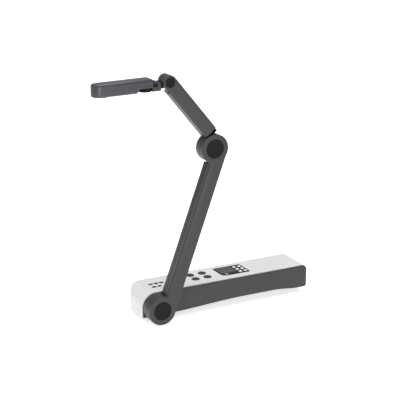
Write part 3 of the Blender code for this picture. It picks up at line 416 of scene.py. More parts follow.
def turned(name, profile, along="Y", centre=(0, 0), sides=96):
    """A turned shape: the profile gives pairs of radius and distance along the axis."""
    shape = bmesh.new()
    rings = []
    for radius, level in profile:
        ring = []
        for side in range(sides if radius > 0 else 1):
            turn = tau * side / sides
            across, up = centre[0] + radius * cos(turn), centre[1] + radius * sin(turn)
            spot = (across, level, up) if along == "Y" else (across, up, level)
            ring.append(shape.verts.new(spot))
        rings.append(ring)
    for near, far in zip(rings, rings[1:] + rings[:1]):
        if len(near) == 1 and len(far) == 1:
            continue
        for side in range(sides):
            after = (side + 1) % sides
            if len(near) == 1:
                shape.faces.new((near[0], far[side], far[after]))
            elif len(far) == 1:
                shape.faces.new((near[side], near[after], far[0]))
            else:
                shape.faces.new((near[side], near[after], far[after], far[side]))
    return piece_of(name, shape)


def oblong(left, right, low, high):
    """The outline of a plain rectangle."""
    return [(left, low), (right, low), (right, high), (left, high)]


def cross_head(name, centre, level, radius, depth, along="Z", outward=-1):
    """A pan-head screw's head with a cross recess, facing along the axis."""
    seat = level - depth * outward
    crown = [(0, level), (radius * 0.6, level), (radius * 0.9, level - 0.25 * depth * outward)]
    crown += [(radius, level - 0.5 * depth * outward), (radius, seat), (0, seat)]
    head = turned(name, crown, along, centre, 40)
    arm_length, arm_width = radius * CROSS_LENGTH, radius * CROSS_WIDTH
    ends = sorted((level + depth * outward, level - CROSS_DEPTH * depth * outward))
    for over, up in ((arm_length, arm_width), (arm_width, arm_length)):
        slit = oblong(centre[0] - over, centre[0] + over, centre[1] - up, centre[1] + up)
        carve(head, "DIFFERENCE", slab("cross", slit, along, *ends))
    return head


for number in (1, 2):
    node = f"ballast_screw_{number}"
    low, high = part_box(node)
    repaint(node, zinc)
    middle = ((low.x + high.x) / 2, (low.y + high.y) / 2)
    crossed = cross_head(
        f"tray_screw_{number}", middle, low.z - TRAY_SCREW_PROUD, SCREW_RADIUS, TRAY_SCREW_DEPTH
    )
    fit(crossed, zinc, "steel", "base", node)

# Feet
# Three pads of black silicone rubber. Two long ones lie in the tray's belly and a small one
# holds up the shoulder drum. Each has soft edges and fine ribs across, so that it grips.
RIB_PITCH = 2.5 * MM
RIB_DEPTH = 0.35 * MM
GROOVE_START = 0.8 * MM
GROOVE_END = 1.7 * MM
GROOVE_SIDE = 0.2 * MM
PAD_EDGE = 0.4 * MM
rubber = plastic("foot_rubber", (0.022, 0.022, 0.022), 0.72, grain=0.05, wear=0.15)
for node in ("left_foot", "right_foot", "drum_foot"):
    low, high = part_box(node)
    outline = [(low.x, high.z), (low.x, low.z)]
    ribs = int((high.x - low.x - RIB_PITCH) / RIB_PITCH)
    start = (low.x + high.x - ribs * RIB_PITCH) / 2
    for rib in range(ribs):
        at = start + rib * RIB_PITCH
        inner = (at + GROOVE_START + GROOVE_SIDE, at + GROOVE_END - GROOVE_SIDE)
        outline += [(at + GROOVE_START, low.z), (inner[0], low.z + RIB_DEPTH)]
        outline += [(inner[1], low.z + RIB_DEPTH), (at + GROOVE_END, low.z)]
    outline += [(high.x, low.z), (high.x, high.z)]
    pad = slab(node + "_pad", outline, "Y", low.y, high.y)
    rounded(pad, PAD_EDGE, 2, 75)
    fit(pad, rubber, "rubber", "base", node)

# Keys
# Round keys with a dished top, small oblong keys and pale oblong keys in the display panel.
# Each is a hard plastic cap with a flange under the cover, and stands a little proud.
KEY_GAP = 0.35 * MM
KEY_FLANGE = 1.2 * MM
KEY_ROOT = 1.5 * MM
KEY_DISH = 0.55 * MM
KEY_CORNER = 0.9 * MM
KEY_EDGE = 0.35 * MM
cover_roof = cover_high.z - COVER_WALL
hole_ends = (cover_roof - COVER_WALL, cover_high.z + COVER_WALL)
key_grey = plastic("key_plastic", (0.022, 0.022, 0.023), 0.38, wear=0.5, gleam=0.2)
key_white = plastic("pale_key_plastic", (0.78, 0.78, 0.76), 0.35, tone=0.02, wear=0.1)
cover_key_holes = []
plate_key_holes = []


def round_key_profile(radius, top, below):
    """Half the section of a round key: a shallow dish inside a rounded rim."""
    profile = [(0, top - KEY_DISH)]
    for step in range(1, 9):
        reach = step / 8
        profile.append((radius * 0.78 * reach, top - KEY_DISH * (1 - reach * reach)))
    profile += [(radius * 0.86, top), (radius * 0.93, top - 0.08 * MM)]
    profile += [(radius * 0.98, top - 0.3 * MM), (radius, top - 0.6 * MM)]
    return profile + [(radius, below), (0, below)]


def oblong_key(centre, half_length, half_width, grow):
    """A small key from above, with rounded corners."""
    points = []
    for side, (over, up) in enumerate(((1, 1), (-1, 1), (-1, -1), (1, -1))):
        spot = (
            centre[0] + over * (half_length - KEY_CORNER),
            centre[1] + up * (half_width - KEY_CORNER),
        )
        points += arc(spot, KEY_CORNER + grow, side * 90, side * 90 + 90, 6)
    return points


bodies = frame["record"]["behaviour"]["bodies"]
for node, body in sorted((node, body) for body, nodes in bodies.items() for node in nodes):
    if "_key_" not in node:
        continue
    low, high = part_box(node)
    middle = ((low.x + high.x) / 2, (low.y + high.y) / 2)
    below = cover_roof - KEY_ROOT
    half_length = (high.x - low.x) / 2 - KEY_FLANGE
    half_width = (high.y - low.y) / 2 - KEY_FLANGE
    if node.startswith("round"):
        profile = round_key_profile(half_length, high.z, below)
        cap = turned(node + "_cap", profile, "Z", middle, 64)
        bore = half_length + KEY_GAP
        hole = [(0, hole_ends[0]), (bore, hole_ends[0]), (bore, hole_ends[1]), (0, hole_ends[1])]
        cover_key_holes.append(turned("hole", hole, "Z", middle, 64))
    else:
        outline = oblong_key(middle, half_length, half_width, 0)
        cap = slab(node + "_cap", outline, "Z", below, high.z)
        rounded(cap, KEY_EDGE, 3, 60)
        outline = oblong_key(middle, half_length, half_width, KEY_GAP)
        cover_key_holes.append(slab("hole", outline, "Z", *hole_ends))
        if node.startswith("panel"):
            plate_key_holes.append(slab("hole", outline, "Z", *hole_ends))
    if node.startswith("panel"):
        fit(cap, key_white, "white_plastic", body, node)
    else:
        fit(cap, key_grey, "dark_grey_plastic", body, node)

# Display panel
# A glossy black acrylic plate let into the cover, with one large round corner at the front
# left. The screen shows through it as a slightly greyer field behind the gloss.
plate_low, plate_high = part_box("display_panel")
PLATE_BIG_CORNER = 9 * MM
PLATE_CORNER = 1.5 * MM
PLATE_SEAT = 0.3 * MM
SCREEN_MARGIN = 3 * MM
SCREEN_LENGTH = 27 * MM
SCREEN_RISE = 0.06 * MM
SCREEN_DEPTH = 0.4 * MM
MARK_STRIP = 7 * MM
PLATE_EDGE = 0.3 * MM


def plate_outline(grow):
    """The display plate from above, grown by a gap on every side."""
    left, right = plate_low.x - grow, plate_high.x + grow
    front, back = plate_low.y - grow, plate_high.y + grow
    small, big = PLATE_CORNER + grow, PLATE_BIG_CORNER + grow
    points = arc((right - small, back - small), small, 0, 90, 6)
    points += arc((left + small, back - small), small, 90, 180, 6)
    points += arc((left + big, front + big), big, 180, 270, 16)
    points += arc((right - small, front + small), small, 270, 360, 6)
    return points


black_gloss = plastic(
    "black_acrylic", (0.008, 0.008, 0.0085), 0.2, grain=0.002, wear=0.3, gleam=0.12
)
screen_grey = plastic("screen_grey", (0.065, 0.066, 0.069), 0.25, 0.002, 0.12, 0, 0.12)
plate = slab("display_plate", plate_outline(0), "Z", plate_low.z, plate_high.z)
rounded(plate, PLATE_EDGE, 3, 60)
carve(plate, "DIFFERENCE", *plate_key_holes)
screen_left = plate_low.x + SCREEN_MARGIN
screen_outline = oblong(
    screen_left,
    screen_left + SCREEN_LENGTH,
    plate_low.y + SCREEN_MARGIN + MARK_STRIP,
    plate_high.y - SCREEN_MARGIN,
)
screen = slab(
    "screen", screen_outline, "Z", plate_high.z - SCREEN_DEPTH, plate_high.z + SCREEN_RISE
)
rounded(screen, 0.05 * MM, 1, 60)
carve(top_cover, "DIFFERENCE", *cover_key_holes)
plate_seat = slab(
    "seat", plate_outline(PLATE_SEAT), "Z", plate_low.z - PLATE_SEAT, cover_high.z + COVER_WALL
)
carve(top_cover, "DIFFERENCE", plate_seat)
fit(plate, black_gloss, "black_plastic", "base", "display_panel")
fit(screen, screen_grey, "black_plastic", "base")

# Power mark
# A ring, open at the top, with a short bar in the opening. It is printed in pale ink on the
# display plate, near its front left corner.
pale_ink = plastic("pale_ink", (0.72, 0.72, 0.71), 0.5, grain=0.004, tone=0.03, wear=0, gleam=0.1)
MARK_RADIUS = 2.7 * MM
MARK_LINE = 0.9 * MM
MARK_FROM, MARK_TO = 125, 415
MARK_BAR = (0.6 * MM, MARK_RADIUS + 0.7 * MM)
INK = 0.08 * MM
mark_x, mark_y = plate_low.x + 9.5 * MM, plate_low.y + 5.4 * MM
ink_ends = (plate_high.z - INK, plate_high.z + INK)
mark_outline = arc((mark_x, mark_y), MARK_RADIUS, MARK_FROM, MARK_TO, 36)
mark_outline += arc((mark_x, mark_y), MARK_RADIUS - MARK_LINE, MARK_TO, MARK_FROM, 36)
power_ring = slab("power_mark_ring", mark_outline, "Z", *ink_ends)
fit(power_ring, pale_ink, "white_plastic", "base")
bar_outline = oblong(
    mark_x - MARK_LINE / 2, mark_x + MARK_LINE / 2, mark_y + MARK_BAR[0], mark_y + MARK_BAR[1]
)
power_bar = slab("power_mark_bar", bar_outline, "Z", *ink_ends)
fit(power_bar, pale_ink, "white_plastic", "base")

# Sockets in the back
# A nickel-plated oval data socket and a round low-voltage socket in a black nylon housing.
# Both stand on the main board and show through windows in the back wall of the cover.
usb_low, usb_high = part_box("usb_socket")
power_low, power_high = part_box("power_socket")
nickel = metal("nickel", (0.7, 0.69, 0.66), 0.28)
socket_black = plastic("socket_nylon", (0.02, 0.02, 0.02), 0.5)


def oval(centre, length, height, grow=0.0):
    """A slot with round ends, across X and Z."""
    radius = height / 2 + grow
    half = length / 2 - height / 2
    points = arc((centre[0] + half, centre[1]), radius, -90, 90, 12)
    return points + arc((centre[0] - half, centre[1]), radius, 90, 270, 12)


SOCKET_WALL = 0.45 * MM
SOCKET_FLOOR = 1 * MM
TONGUE_HALF = 3.2 * MM
TONGUE_THICK = 0.7 * MM
BORE_RADIUS = 3.2 * MM
BORE_FLOOR = 1.5 * MM
PIN_RADIUS = 0.95 * MM
WINDOW_GAP = 0.3 * MM
usb_middle = ((usb_low.x + usb_high.x) / 2, (usb_low.z + usb_high.z) / 2)
usb_size = (usb_high.x - usb_low.x, usb_high.z - usb_low.z)
shell = slab("data_socket", oval(usb_middle, *usb_size), "Y", usb_low.y, usb_high.y)
mouth = slab(
    "mouth",
    oval(usb_middle, *usb_size, -SOCKET_WALL),
    "Y",
    usb_low.y + SOCKET_FLOOR,
    usb_high.y + 1 * MM,
)
carve(shell, "DIFFERENCE", mouth)
tongue_outline = oblong(
    usb_middle[0] - TONGUE_HALF,
    usb_middle[0] + TONGUE_HALF,
    usb_middle[1] - TONGUE_THICK / 2,
    usb_middle[1] + TONGUE_THICK / 2,
)
tongue = slab(
    "data_socket_tongue", tongue_outline, "Y", usb_low.y + 0.5 * MM, usb_high.y - 1.2 * MM
)
fit(shell, nickel, "steel", "base", "usb_socket")
fit(tongue, socket_black, "black_plastic", "base")
power_middle = ((power_low.x + power_high.x) / 2, (power_low.z + power_high.z) / 2)
housing_outline = oblong(power_low.x, power_high.x, power_low.z, power_high.z)
housing = slab("power_socket_housing", housing_outline, "Y", power_low.y, power_high.y)
rounded(housing, 0.4 * MM, 2)
bore_profile = [(0, power_low.y + BORE_FLOOR), (BORE_RADIUS, power_low.y + BORE_FLOOR)]
bore_profile += [(BORE_RADIUS, power_high.y + 1 * MM), (0, power_high.y + 1 * MM)]
carve(housing, "DIFFERENCE", turned("bore", bore_profile, "Y", power_middle, 48))
fit(housing, socket_black, "steel", "base", "power_socket")
pin_tip = power_high.y - 1 * MM
pin_root = power_low.y + 1 * MM
pin_profile = [(0, pin_tip), (0.6 * MM, pin_tip), (PIN_RADIUS, pin_tip - 0.5 * MM)]
pin_profile += [(PIN_RADIUS, pin_root), (0, pin_root)]
contact = turned("power_socket_pin", pin_profile, "Y", power_middle, 24)
fit(contact, nickel, "steel", "base")
window_ends = (cover_high.y - 2 * COVER_WALL, cover_high.y + COVER_WALL)
usb_window = slab("window", oval(usb_middle, *usb_size, WINDOW_GAP), "Y", *window_ends)
window_outline = oblong(
    power_low.x - WINDOW_GAP,
    power_high.x + WINDOW_GAP,
    power_low.z - WINDOW_GAP,
    power_high.z + WINDOW_GAP,
)
power_window = slab("window", window_outline, "Y", *window_ends)
carve(top_cover, "DIFFERENCE", usb_window, power_window)
fit(top_cover, white_abs, "white_plastic", "base", "base_top_cover")

# Shoulder drum
# A grey moulded drum fixed to the front of the base. Inside it the shoulder pin runs through a
# friction washer to a nut, so that the arm stays where it is put.
drum_low, drum_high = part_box("shoulder_drum")
DRUM_EDGE = 1.0 * MM
drum_radius = (drum_high.x - drum_low.x) / 2
DRUM_BORE = 17 * MM
DRUM_FLOOR = 3 * MM
FLAT_REACH = 14 * MM
arm_grey = plastic("arm_grey_abs", DARK_GREY, 0.44)


def drum_profile(radius, front, back, bore, floor):
    """A drum that is open at the back, with its outer edges rounded."""
    points = [(0, front), (radius - DRUM_EDGE, front)]
    points += [
        (radius - DRUM_EDGE + DRUM_EDGE * sin(t), front + DRUM_EDGE - DRUM_EDGE * cos(t))
        for t in (pi / 8, pi / 4, 3 * pi / 8, pi / 2)
    ]
    points += [
        (radius - DRUM_EDGE + DRUM_EDGE * cos(t), back - DRUM_EDGE + DRUM_EDGE * sin(t))
        for t in (0, pi / 8, pi / 4, 3 * pi / 8, pi / 2)
    ]
    return points + [(bore + 0.4 * MM, back), (bore, back - 0.4 * MM), (bore, floor), (0, floor)]


shoulder_middle = (shoulder_at.x, shoulder_at.z)
drum = turned(
    "shoulder_hinge_drum",
    drum_profile(drum_radius, drum_low.y, drum_high.y, DRUM_BORE, drum_low.y + DRUM_FLOOR),
    "Y",
    shoulder_middle,
    128,
)
flat_outline = oblong(-FLAT_REACH, FLAT_REACH, -2 * MM, drum_low.z)
foot_flat = slab("flat", flat_outline, "Y", -20 * MM, 20 * MM)
carve(drum, "DIFFERENCE", foot_flat)
fit(drum, arm_grey, "grey_plastic", "base", "shoulder_drum")
washer_black = plastic("washer_nylon", (0.018, 0.018, 0.018), 0.4)
for name in ("shoulder", "elbow"):
    repaint(name + "_pin", zinc)
    repaint(name + "_nut", zinc)
    repaint(name + "_friction_washer", washer_black)

# Lower arm
# Two shells of the same grey plastic over a steel spine. The front shell ends in a ring at
# each hinge, and the rear cover fills the straight part between the drums.
elbow_at = hinge["elbow_hinge"]
lower_length = (elbow_at - shoulder_at).length
lower_lean = atan2(elbow_at.x - shoulder_at.x, elbow_at.z - shoulder_at.z)
lower_place = Matrix.Translation(shoulder_at) @ Matrix.Rotation(lower_lean, 4, "Y")
RING_RADIUS = 23 * MM
BAR_LEFT = 0.4 * MM
BAR_WIDTH = 22 * MM
BAR_RIGHT = BAR_LEFT + BAR_WIDTH
PLATE_FRONT = -15 * MM
PLATE_BACK = -8.3 * MM
SHELL_SPLIT = -5.5 * MM
BAR_BACK = 7 * MM
BAR_START = RING_RADIUS + 1.5 * MM
BAR_EDGE = 1.3 * MM
REAR_EDGE = 1.0 * MM
CAP_RADIUS = 14.8 * MM
CAP_SEAT = 2.4 * MM
CAP_PROUD = 0.8 * MM
CAP_DISH = 0.35 * MM
CAP_GROOVE = 0.3 * MM
CAP_RIM = 0.7 * MM
SEAT_GAP = 0.3 * MM


def bar_part(name, low, high, front, back, inset=0.0):
    """A straight piece of an arm's bar between two distances from its hinge."""
    outline = oblong(BAR_LEFT + inset, BAR_RIGHT - inset, low, high)
    return slab(name, outline, "Y", front, back)


def cap_seat(centre, radius):
    """The round recess that a hinge cap is pressed into."""
    depth = PLATE_FRONT + CAP_SEAT
    profile = [(0, PLATE_FRONT - 2 * MM), (radius + SEAT_GAP, PLATE_FRONT - 2 * MM)]
    return turned("seat", profile + [(radius + SEAT_GAP, depth), (0, depth)], "Y", centre, 96)


def hinge_cap(name, radius, centre, place, body, node):
    """A pressed-in cap with a rounded rim, a fine groove and a faintly dished middle."""
    front = PLATE_FRONT - CAP_PROUD
    back = PLATE_FRONT + CAP_SEAT - SEAT_GAP
    groove = front + CAP_GROOVE
    profile = [(0, front + CAP_DISH)]
    for step in range(1, 11):
        reach = step / 10
        profile.append(((radius - 2.2 * MM) * reach, front + CAP_DISH * (1 - reach**3)))
    profile += [(radius - 2.0 * MM, groove), (radius - 1.7 * MM, groove)]
    profile += [(radius - 1.5 * MM, front), (radius - CAP_RIM, front)]
    for step in range(1, 6):
        turn = pi / 2 * step / 5
        rim = (radius - CAP_RIM + CAP_RIM * sin(turn), front + CAP_RIM * (1 - cos(turn)))
        profile.append(rim)
    profile += [(radius, back), (0, back)]
    cap = turned(name, profile, "Y", centre, 96)
    return fit(cap, cap_black, "dark_grey_plastic", body, node, place=place, angle=40)


SLOPE_WIDTH = 4.6 * MM
SLOPE_DEPTH = 2.4 * MM


def edge_slope(low, high):
    """The tool for the shallow slope along the left front edge of a bar."""
    fall = SLOPE_DEPTH / SLOPE_WIDTH
    outside = BAR_LEFT - 1 * MM
    return slab(
        "slope",
        [
            (outside, PLATE_FRONT - 1 * MM),
            (BAR_LEFT + SLOPE_WIDTH + 1 * MM / fall, PLATE_FRONT - 1 * MM),
            (outside, PLATE_FRONT + SLOPE_DEPTH + 1 * MM * fall),
        ],
        "Z",
        low,
        high,
    )


side_turn = 90 - asin(BAR_RIGHT / RING_RADIUS) * 180 / pi
left_turn = 90 - asin(BAR_LEFT / RING_RADIUS) * 180 / pi
lower_outline = arc((0, lower_length), RING_RADIUS, -side_turn, 360 - left_turn, 72)
lower_outline += arc((0, 0), RING_RADIUS, left_turn, 360 + side_turn, 72)
lower_front = slab("lower_arm_front", lower_outline, "Y", PLATE_FRONT, PLATE_BACK)
carve(lower_front, "DIFFERENCE", edge_slope(BAR_START, lower_length - BAR_START))
rounded(lower_front, BAR_EDGE, 5, 50)
lower_lip = bar_part(
    "lip",
    BAR_START,
    lower_length - BAR_START,
    PLATE_FRONT + SLOPE_DEPTH + 1 * MM,
    SHELL_SPLIT,
    0.02 * MM,
)
rounded(lower_lip, 0.35 * MM, 2)
carve(lower_front, "UNION", lower_lip)
for level in (0, lower_length):
    carve(lower_front, "DIFFERENCE", cap_seat((0, level), CAP_RADIUS))
fit(
    lower_front,
    arm_grey,
    "grey_plastic",
    "lower_arm",
    "lower_arm_front_shell",
    "lower_arm_spine",
    "lower_arm_flat_cable",
    place=lower_place,
)
lower_rear = bar_part(
    "lower_arm_back", BAR_START, lower_length - BAR_START, SHELL_SPLIT + SEAT_GAP, BAR_BACK
)
rounded(lower_rear, REAR_EDGE, 4)
SCREW_WELL = 3.2 * MM
WELL_DEPTH = 2.4 * MM
SCREW_LEVEL = BAR_BACK - 1.2 * MM
SCREW_DEPTH = 1.3 * MM
SCREW_INSET = 16 * MM


def screw_wells(item, levels, place, body, name):
    """Recessed cross-head screws in the back of a bar, which hold its two shells together."""
    middle = BAR_LEFT + BAR_WIDTH / 2
    for number, level in enumerate(levels):
        centre = (middle, level)
        floor, mouth = BAR_BACK - WELL_DEPTH, BAR_BACK + 0.2 * MM
        profile = [(0, floor), (SCREW_WELL - 0.3 * MM, floor), (SCREW_WELL, BAR_BACK - 0.3 * MM)]
        profile += [(SCREW_WELL + 0.5 * MM, mouth), (0, mouth)]
        carve(item, "DIFFERENCE", turned("well", profile, "Y", centre, 48))
        head = cross_head(
            f"{name}_screw_{number + 1}", centre, SCREW_LEVEL, SCREW_RADIUS, SCREW_DEPTH, "Y", 1
        )
        fit(head, zinc, "steel", body, place=place)


screw_wells(
    lower_rear,
    (BAR_START + SCREW_INSET, lower_length / 2, lower_length - BAR_START - SCREW_INSET),
    lower_place,
    "lower_arm",
    "lower_arm",
)
fit(lower_rear, arm_grey, "grey_plastic", "lower_arm", "lower_arm_rear_cover", place=lower_place)
cap_black = plastic("cap_black", (0.006, 0.006, 0.0065), 0.42, wear=0.4, gleam=0.12)
hinge_cap("shoulder_hinge_cap", CAP_RADIUS, (0, 0), lower_place, "lower_arm", "shoulder_cap")
hinge_cap("elbow_hinge_cap", CAP_RADIUS, (0, lower_length), lower_place, "lower_arm", "elbow_cap")

# Upper arm
# The same two-shell bar, half as long. Its front shell is rounded over the wrist, and its rear
# cover carries the elbow drum, moulded in one piece with it. A black collar sits in the gap at
# the elbow ring, and its near-black colour is partly painted shade for the recess there.
UPPER_LEAN = radians(-39.1)
UPPER_START = RING_RADIUS + 2.2 * MM
UPPER_SCREW_INSET = 14 * MM
WRIST_CAP_RADIUS = 7.9 * MM
BUMPER_RADIUS = 2.2 * MM
BUMPER_DEPTH = 4.75 * MM
BUMPER_SEAT = 1.2 * MM
BUMPER_ROOT = 0.9 * MM
upper_place = Matrix.Translation(elbow_at) @ Matrix.Rotation(UPPER_LEAN, 4, "Y")
wrist_at = hinge["wrist_hinge"]
upper_wrist = upper_place.inverted() @ wrist_at
upper_rear_end = upper_wrist.z - 12.3 * MM
bar_middle = BAR_LEFT + BAR_WIDTH / 2
upper_outline = [(BAR_RIGHT, UPPER_START)]
upper_outline += arc((bar_middle, upper_wrist.z), BAR_WIDTH / 2, 0, 180, 48)
upper_outline += [(BAR_LEFT, UPPER_START)]
upper_front = slab("upper_arm_front", upper_outline, "Y", PLATE_FRONT, SHELL_SPLIT)
carve(upper_front, "DIFFERENCE", edge_slope(UPPER_START - 1 * MM, upper_wrist.z - 3 * MM))
rounded(upper_front, BAR_EDGE, 5, 50)
carve(upper_front, "DIFFERENCE", cap_seat((bar_middle, upper_wrist.z), WRIST_CAP_RADIUS))
bumper_level = upper_wrist.z - 11.6 * MM
seat_radius = BUMPER_RADIUS + SEAT_GAP
seat_profile = [(0, -2 * MM), (seat_radius, -2 * MM), (seat_radius, BUMPER_SEAT), (0, BUMPER_SEAT)]
bumper_seat = turned("seat", seat_profile, "Z", (0, 0), 40)
bumper_at = Matrix.Translation((BAR_LEFT, PLATE_FRONT + BUMPER_DEPTH, bumper_level))
bumper_turn = bumper_at @ Matrix.Rotation(pi / 2, 4, "Y")
bumper_seat.data.transform(bumper_turn)
carve(upper_front, "DIFFERENCE", bumper_seat)
fit(
    upper_front,
    arm_grey,
    "grey_plastic",
    "upper_arm",
    "upper_arm_front_shell",
    "upper_arm_spine",
    "upper_arm_flat_cable",
    place=upper_place,
)
dome = [(0, -1 * MM), (BUMPER_RADIUS * 0.5, -0.96 * MM), (BUMPER_RADIUS * 0.8, -0.75 * MM)]
dome += [(BUMPER_RADIUS * 0.96, -0.4 * MM), (BUMPER_RADIUS, 0)]
dome += [(BUMPER_RADIUS, BUMPER_ROOT), (0, BUMPER_ROOT)]
bumper = turned("rubber_stop", dome, "Z", (0, 0), 40)
bumper.data.transform(bumper_turn)
stop_rubber = plastic("stop_rubber", (0.004, 0.004, 0.004), 0.7, wear=0.05, gleam=0.05)
fit(bumper, stop_rubber, "rubber", "upper_arm", "fold_bumper", place=upper_place)
ELBOW_DRUM_RADIUS = 22.7 * MM
ELBOW_DRUM_FRONT = -8 * MM
elbow_floor = ELBOW_DRUM_FRONT + DRUM_FLOOR
elbow_profile = drum_profile(
    ELBOW_DRUM_RADIUS, ELBOW_DRUM_FRONT, BAR_BACK, DRUM_BORE, elbow_floor
)
upper_rear = turned("upper_arm_back", elbow_profile, "Y", (0, 0), 128)
upper_bar = bar_part("bar", RING_RADIUS - 6 * MM, upper_rear_end, SHELL_SPLIT + SEAT_GAP, BAR_BACK)
rounded(upper_bar, REAR_EDGE, 4)
inside = DRUM_BORE + 2 * MM
drum_clear = [(0, -9 * MM), (inside, -9 * MM), (inside, 9 * MM), (0, 9 * MM)]
carve(upper_bar, "DIFFERENCE", turned("clear", drum_clear, "Y", (0, 0), 128))
carve(upper_rear, "UNION", upper_bar)
screw_wells(
    upper_rear,
    (RING_RADIUS + UPPER_SCREW_INSET, upper_rear_end - UPPER_SCREW_INSET),
    upper_place,
    "upper_arm",
    "upper_arm",
)
fit(upper_rear, arm_grey, "grey_plastic", "upper_arm", "upper_arm_rear_cover", place=upper_place)
COLLAR_END = UPPER_START + 1.5 * MM
COLLAR_INSET = 1.2 * MM
COLLAR_FRONT = PLATE_FRONT + 1.6 * MM
COLLAR_GAP = 0.25 * MM
# A black collar in the gap between the bar's end and the elbow ring; its near-black colour is partly painted shade
# for that recess.
elbow_collar = bar_part(
    "elbow_collar",
    RING_RADIUS - 3 * MM,
    COLLAR_END,
    COLLAR_FRONT,
    SHELL_SPLIT - 0.2 * MM,
    COLLAR_INSET,
)
reach = RING_RADIUS + COLLAR_GAP
ring_clear = [(0, -17 * MM), (reach, -17 * MM), (reach, -3 * MM), (0, -3 * MM)]
carve(elbow_collar, "DIFFERENCE", turned("clear", ring_clear, "Y", (0, 0), 128))
hinge_cap(
    "wrist_hinge_cap",
    WRIST_CAP_RADIUS,
    (bar_middle, upper_wrist.z),
    upper_place,
    "upper_arm",
    "wrist_cap",
)
# Near-black: partly the collar's own black, partly painted shade for the recess at the elbow ring.
collar_black_and_shade = plastic("collar_black_and_painted_shade", (0.003, 0.003, 0.003), 0.6, wear=0.05, gleam=0.05)
fit(elbow_collar, collar_black_and_shade, "black_plastic", "upper_arm", place=upper_place)
for node in ("wrist_pin", "wrist_nut", "swivel_pin", "swivel_nut"):
    repaint(node, zinc)

# Wrist
# A knuckle turns behind the arm's rounded end. Its neck block carries a black swivel plate
# under the heel of the head, and an upright pin goes up through both. The near-black root
# block between the neck and the knuckle is painted shade for the recess there.
wrist_place = Matrix.Translation(wrist_at)
KNUCKLE_RADIUS = 10.8 * MM
KNUCKLE_FRONT = -1 * MM
KNUCKLE_BACK = 11 * MM
NECK_LEFT = -20.2 * MM
NECK_RIGHT = -14.6 * MM
NECK_SHELF = -29.2 * MM
NECK_FRONT = -10 * MM
NECK_BOTTOM = -10.9 * MM
NECK_TOP = 1.5 * MM
NUT_RADIUS = 5 * MM
nut_floor = KNUCKLE_BACK - 3.3 * MM
knuckle_profile = [(0, KNUCKLE_FRONT), (KNUCKLE_RADIUS - 1 * MM, KNUCKLE_FRONT)]
knuckle_profile += [(KNUCKLE_RADIUS - 0.3 * MM, KNUCKLE_FRONT + 0.3 * MM)]
knuckle_profile += [(KNUCKLE_RADIUS, KNUCKLE_FRONT + 1 * MM)]
for inward, short in ((0, 1.6), (0.25, 0.8), (0.8, 0.25), (1.6, 0)):
    knuckle_profile.append((KNUCKLE_RADIUS - inward * MM, KNUCKLE_BACK - short * MM))
knuckle_profile += [(NUT_RADIUS, KNUCKLE_BACK), (NUT_RADIUS, nut_floor), (0, nut_floor)]
knuckle = turned("knuckle", knuckle_profile, "Y", (0, 0), 96)


def block(name, x, y, z, edge):
    """A rounded block between two places on each axis."""
    return rounded(slab(name, oblong(*x, *z), "Y", *y), edge)


neck = block(
    "neck",
    (NECK_LEFT, NECK_RIGHT),
    (NECK_FRONT, KNUCKLE_BACK),
    (NECK_BOTTOM, NECK_TOP),
    1 * MM,
)
swivel_at = hinge["head_swivel"]
SWIVEL_RADIUS = 11 * MM
swivel_low, swivel_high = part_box("swivel_plate")
shelf = block(
    "shelf",
    (NECK_SHELF, NECK_LEFT + 2 * MM),
    (NECK_FRONT, KNUCKLE_BACK),
    (NECK_BOTTOM, swivel_high.z - wrist_at.z),
    0.8 * MM,
)
carve(neck, "UNION", shelf)
# Painted shade: this root block is coloured near-black so that the recess between the neck and the knuckle reads
# as shadow.
root = block(
    "neck_root",
    (NECK_RIGHT - 1 * MM, -4 * MM),
    (KNUCKLE_FRONT - 0.2 * MM, KNUCKLE_BACK - 0.6 * MM),
    (NECK_BOTTOM + 1 * MM, NECK_TOP - 0.6 * MM),
    0.8 * MM,
)
fit(knuckle, arm_grey, "grey_plastic", "wrist", "wrist_knuckle", place=wrist_place)
fit(neck, arm_grey, "grey_plastic", "wrist", place=wrist_place)
# Near-black material that paints the shadow in the recess behind the knuckle.
root_painted_shade = plastic("neck_root_painted_shade", (0.003, 0.003, 0.003), 0.6, wear=0.05, gleam=0.05)
fit(root, root_painted_shade, "black_plastic", "wrist", place=wrist_place)
head_place = Matrix.Translation((swivel_at.x, swivel_at.y, wrist_at.z))
swivel_bottom = swivel_low.z - wrist_at.z
swivel_top = swivel_high.z - wrist_at.z
disc = [(0, swivel_top), (SWIVEL_RADIUS - 0.5 * MM, swivel_top)]
disc += [(SWIVEL_RADIUS, swivel_top - 0.5 * MM), (SWIVEL_RADIUS, swivel_bottom + 1 * MM)]
disc += [(SWIVEL_RADIUS - 0.3 * MM, swivel_bottom + 0.3 * MM)]
disc += [(SWIVEL_RADIUS - 1 * MM, swivel_bottom), (0, swivel_bottom)]
swivel_plate = turned("swivel_disc", disc, "Z", (0, 0), 96)
shelf_side = NECK_SHELF - (swivel_at.x - wrist_at.x)
shelf_clear = slab(
    "clear",
    oblong(shelf_side, 20 * MM, -20 * MM, 20 * MM),
    "Z",
    swivel_bottom - 1 * MM,
    swivel_top + 1 * MM,
)
PIN_SEAT_RADIUS = 4.3 * MM
under, floor = swivel_bottom - 1 * MM, swivel_bottom + 2 * MM
seat_profile = [(0, under), (PIN_SEAT_RADIUS, under), (PIN_SEAT_RADIUS, floor), (0, floor)]
pin_seat = turned("seat", seat_profile, "Z", (0, 0), 48)
carve(swivel_plate, "DIFFERENCE", shelf_clear, pin_seat)
black_nylon = plastic("black_nylon", (0.004, 0.004, 0.004), 0.45, wear=0.1, gleam=0.08)
fit(swivel_plate, black_nylon, "black_plastic", "wrist", "swivel_plate", place=head_place)

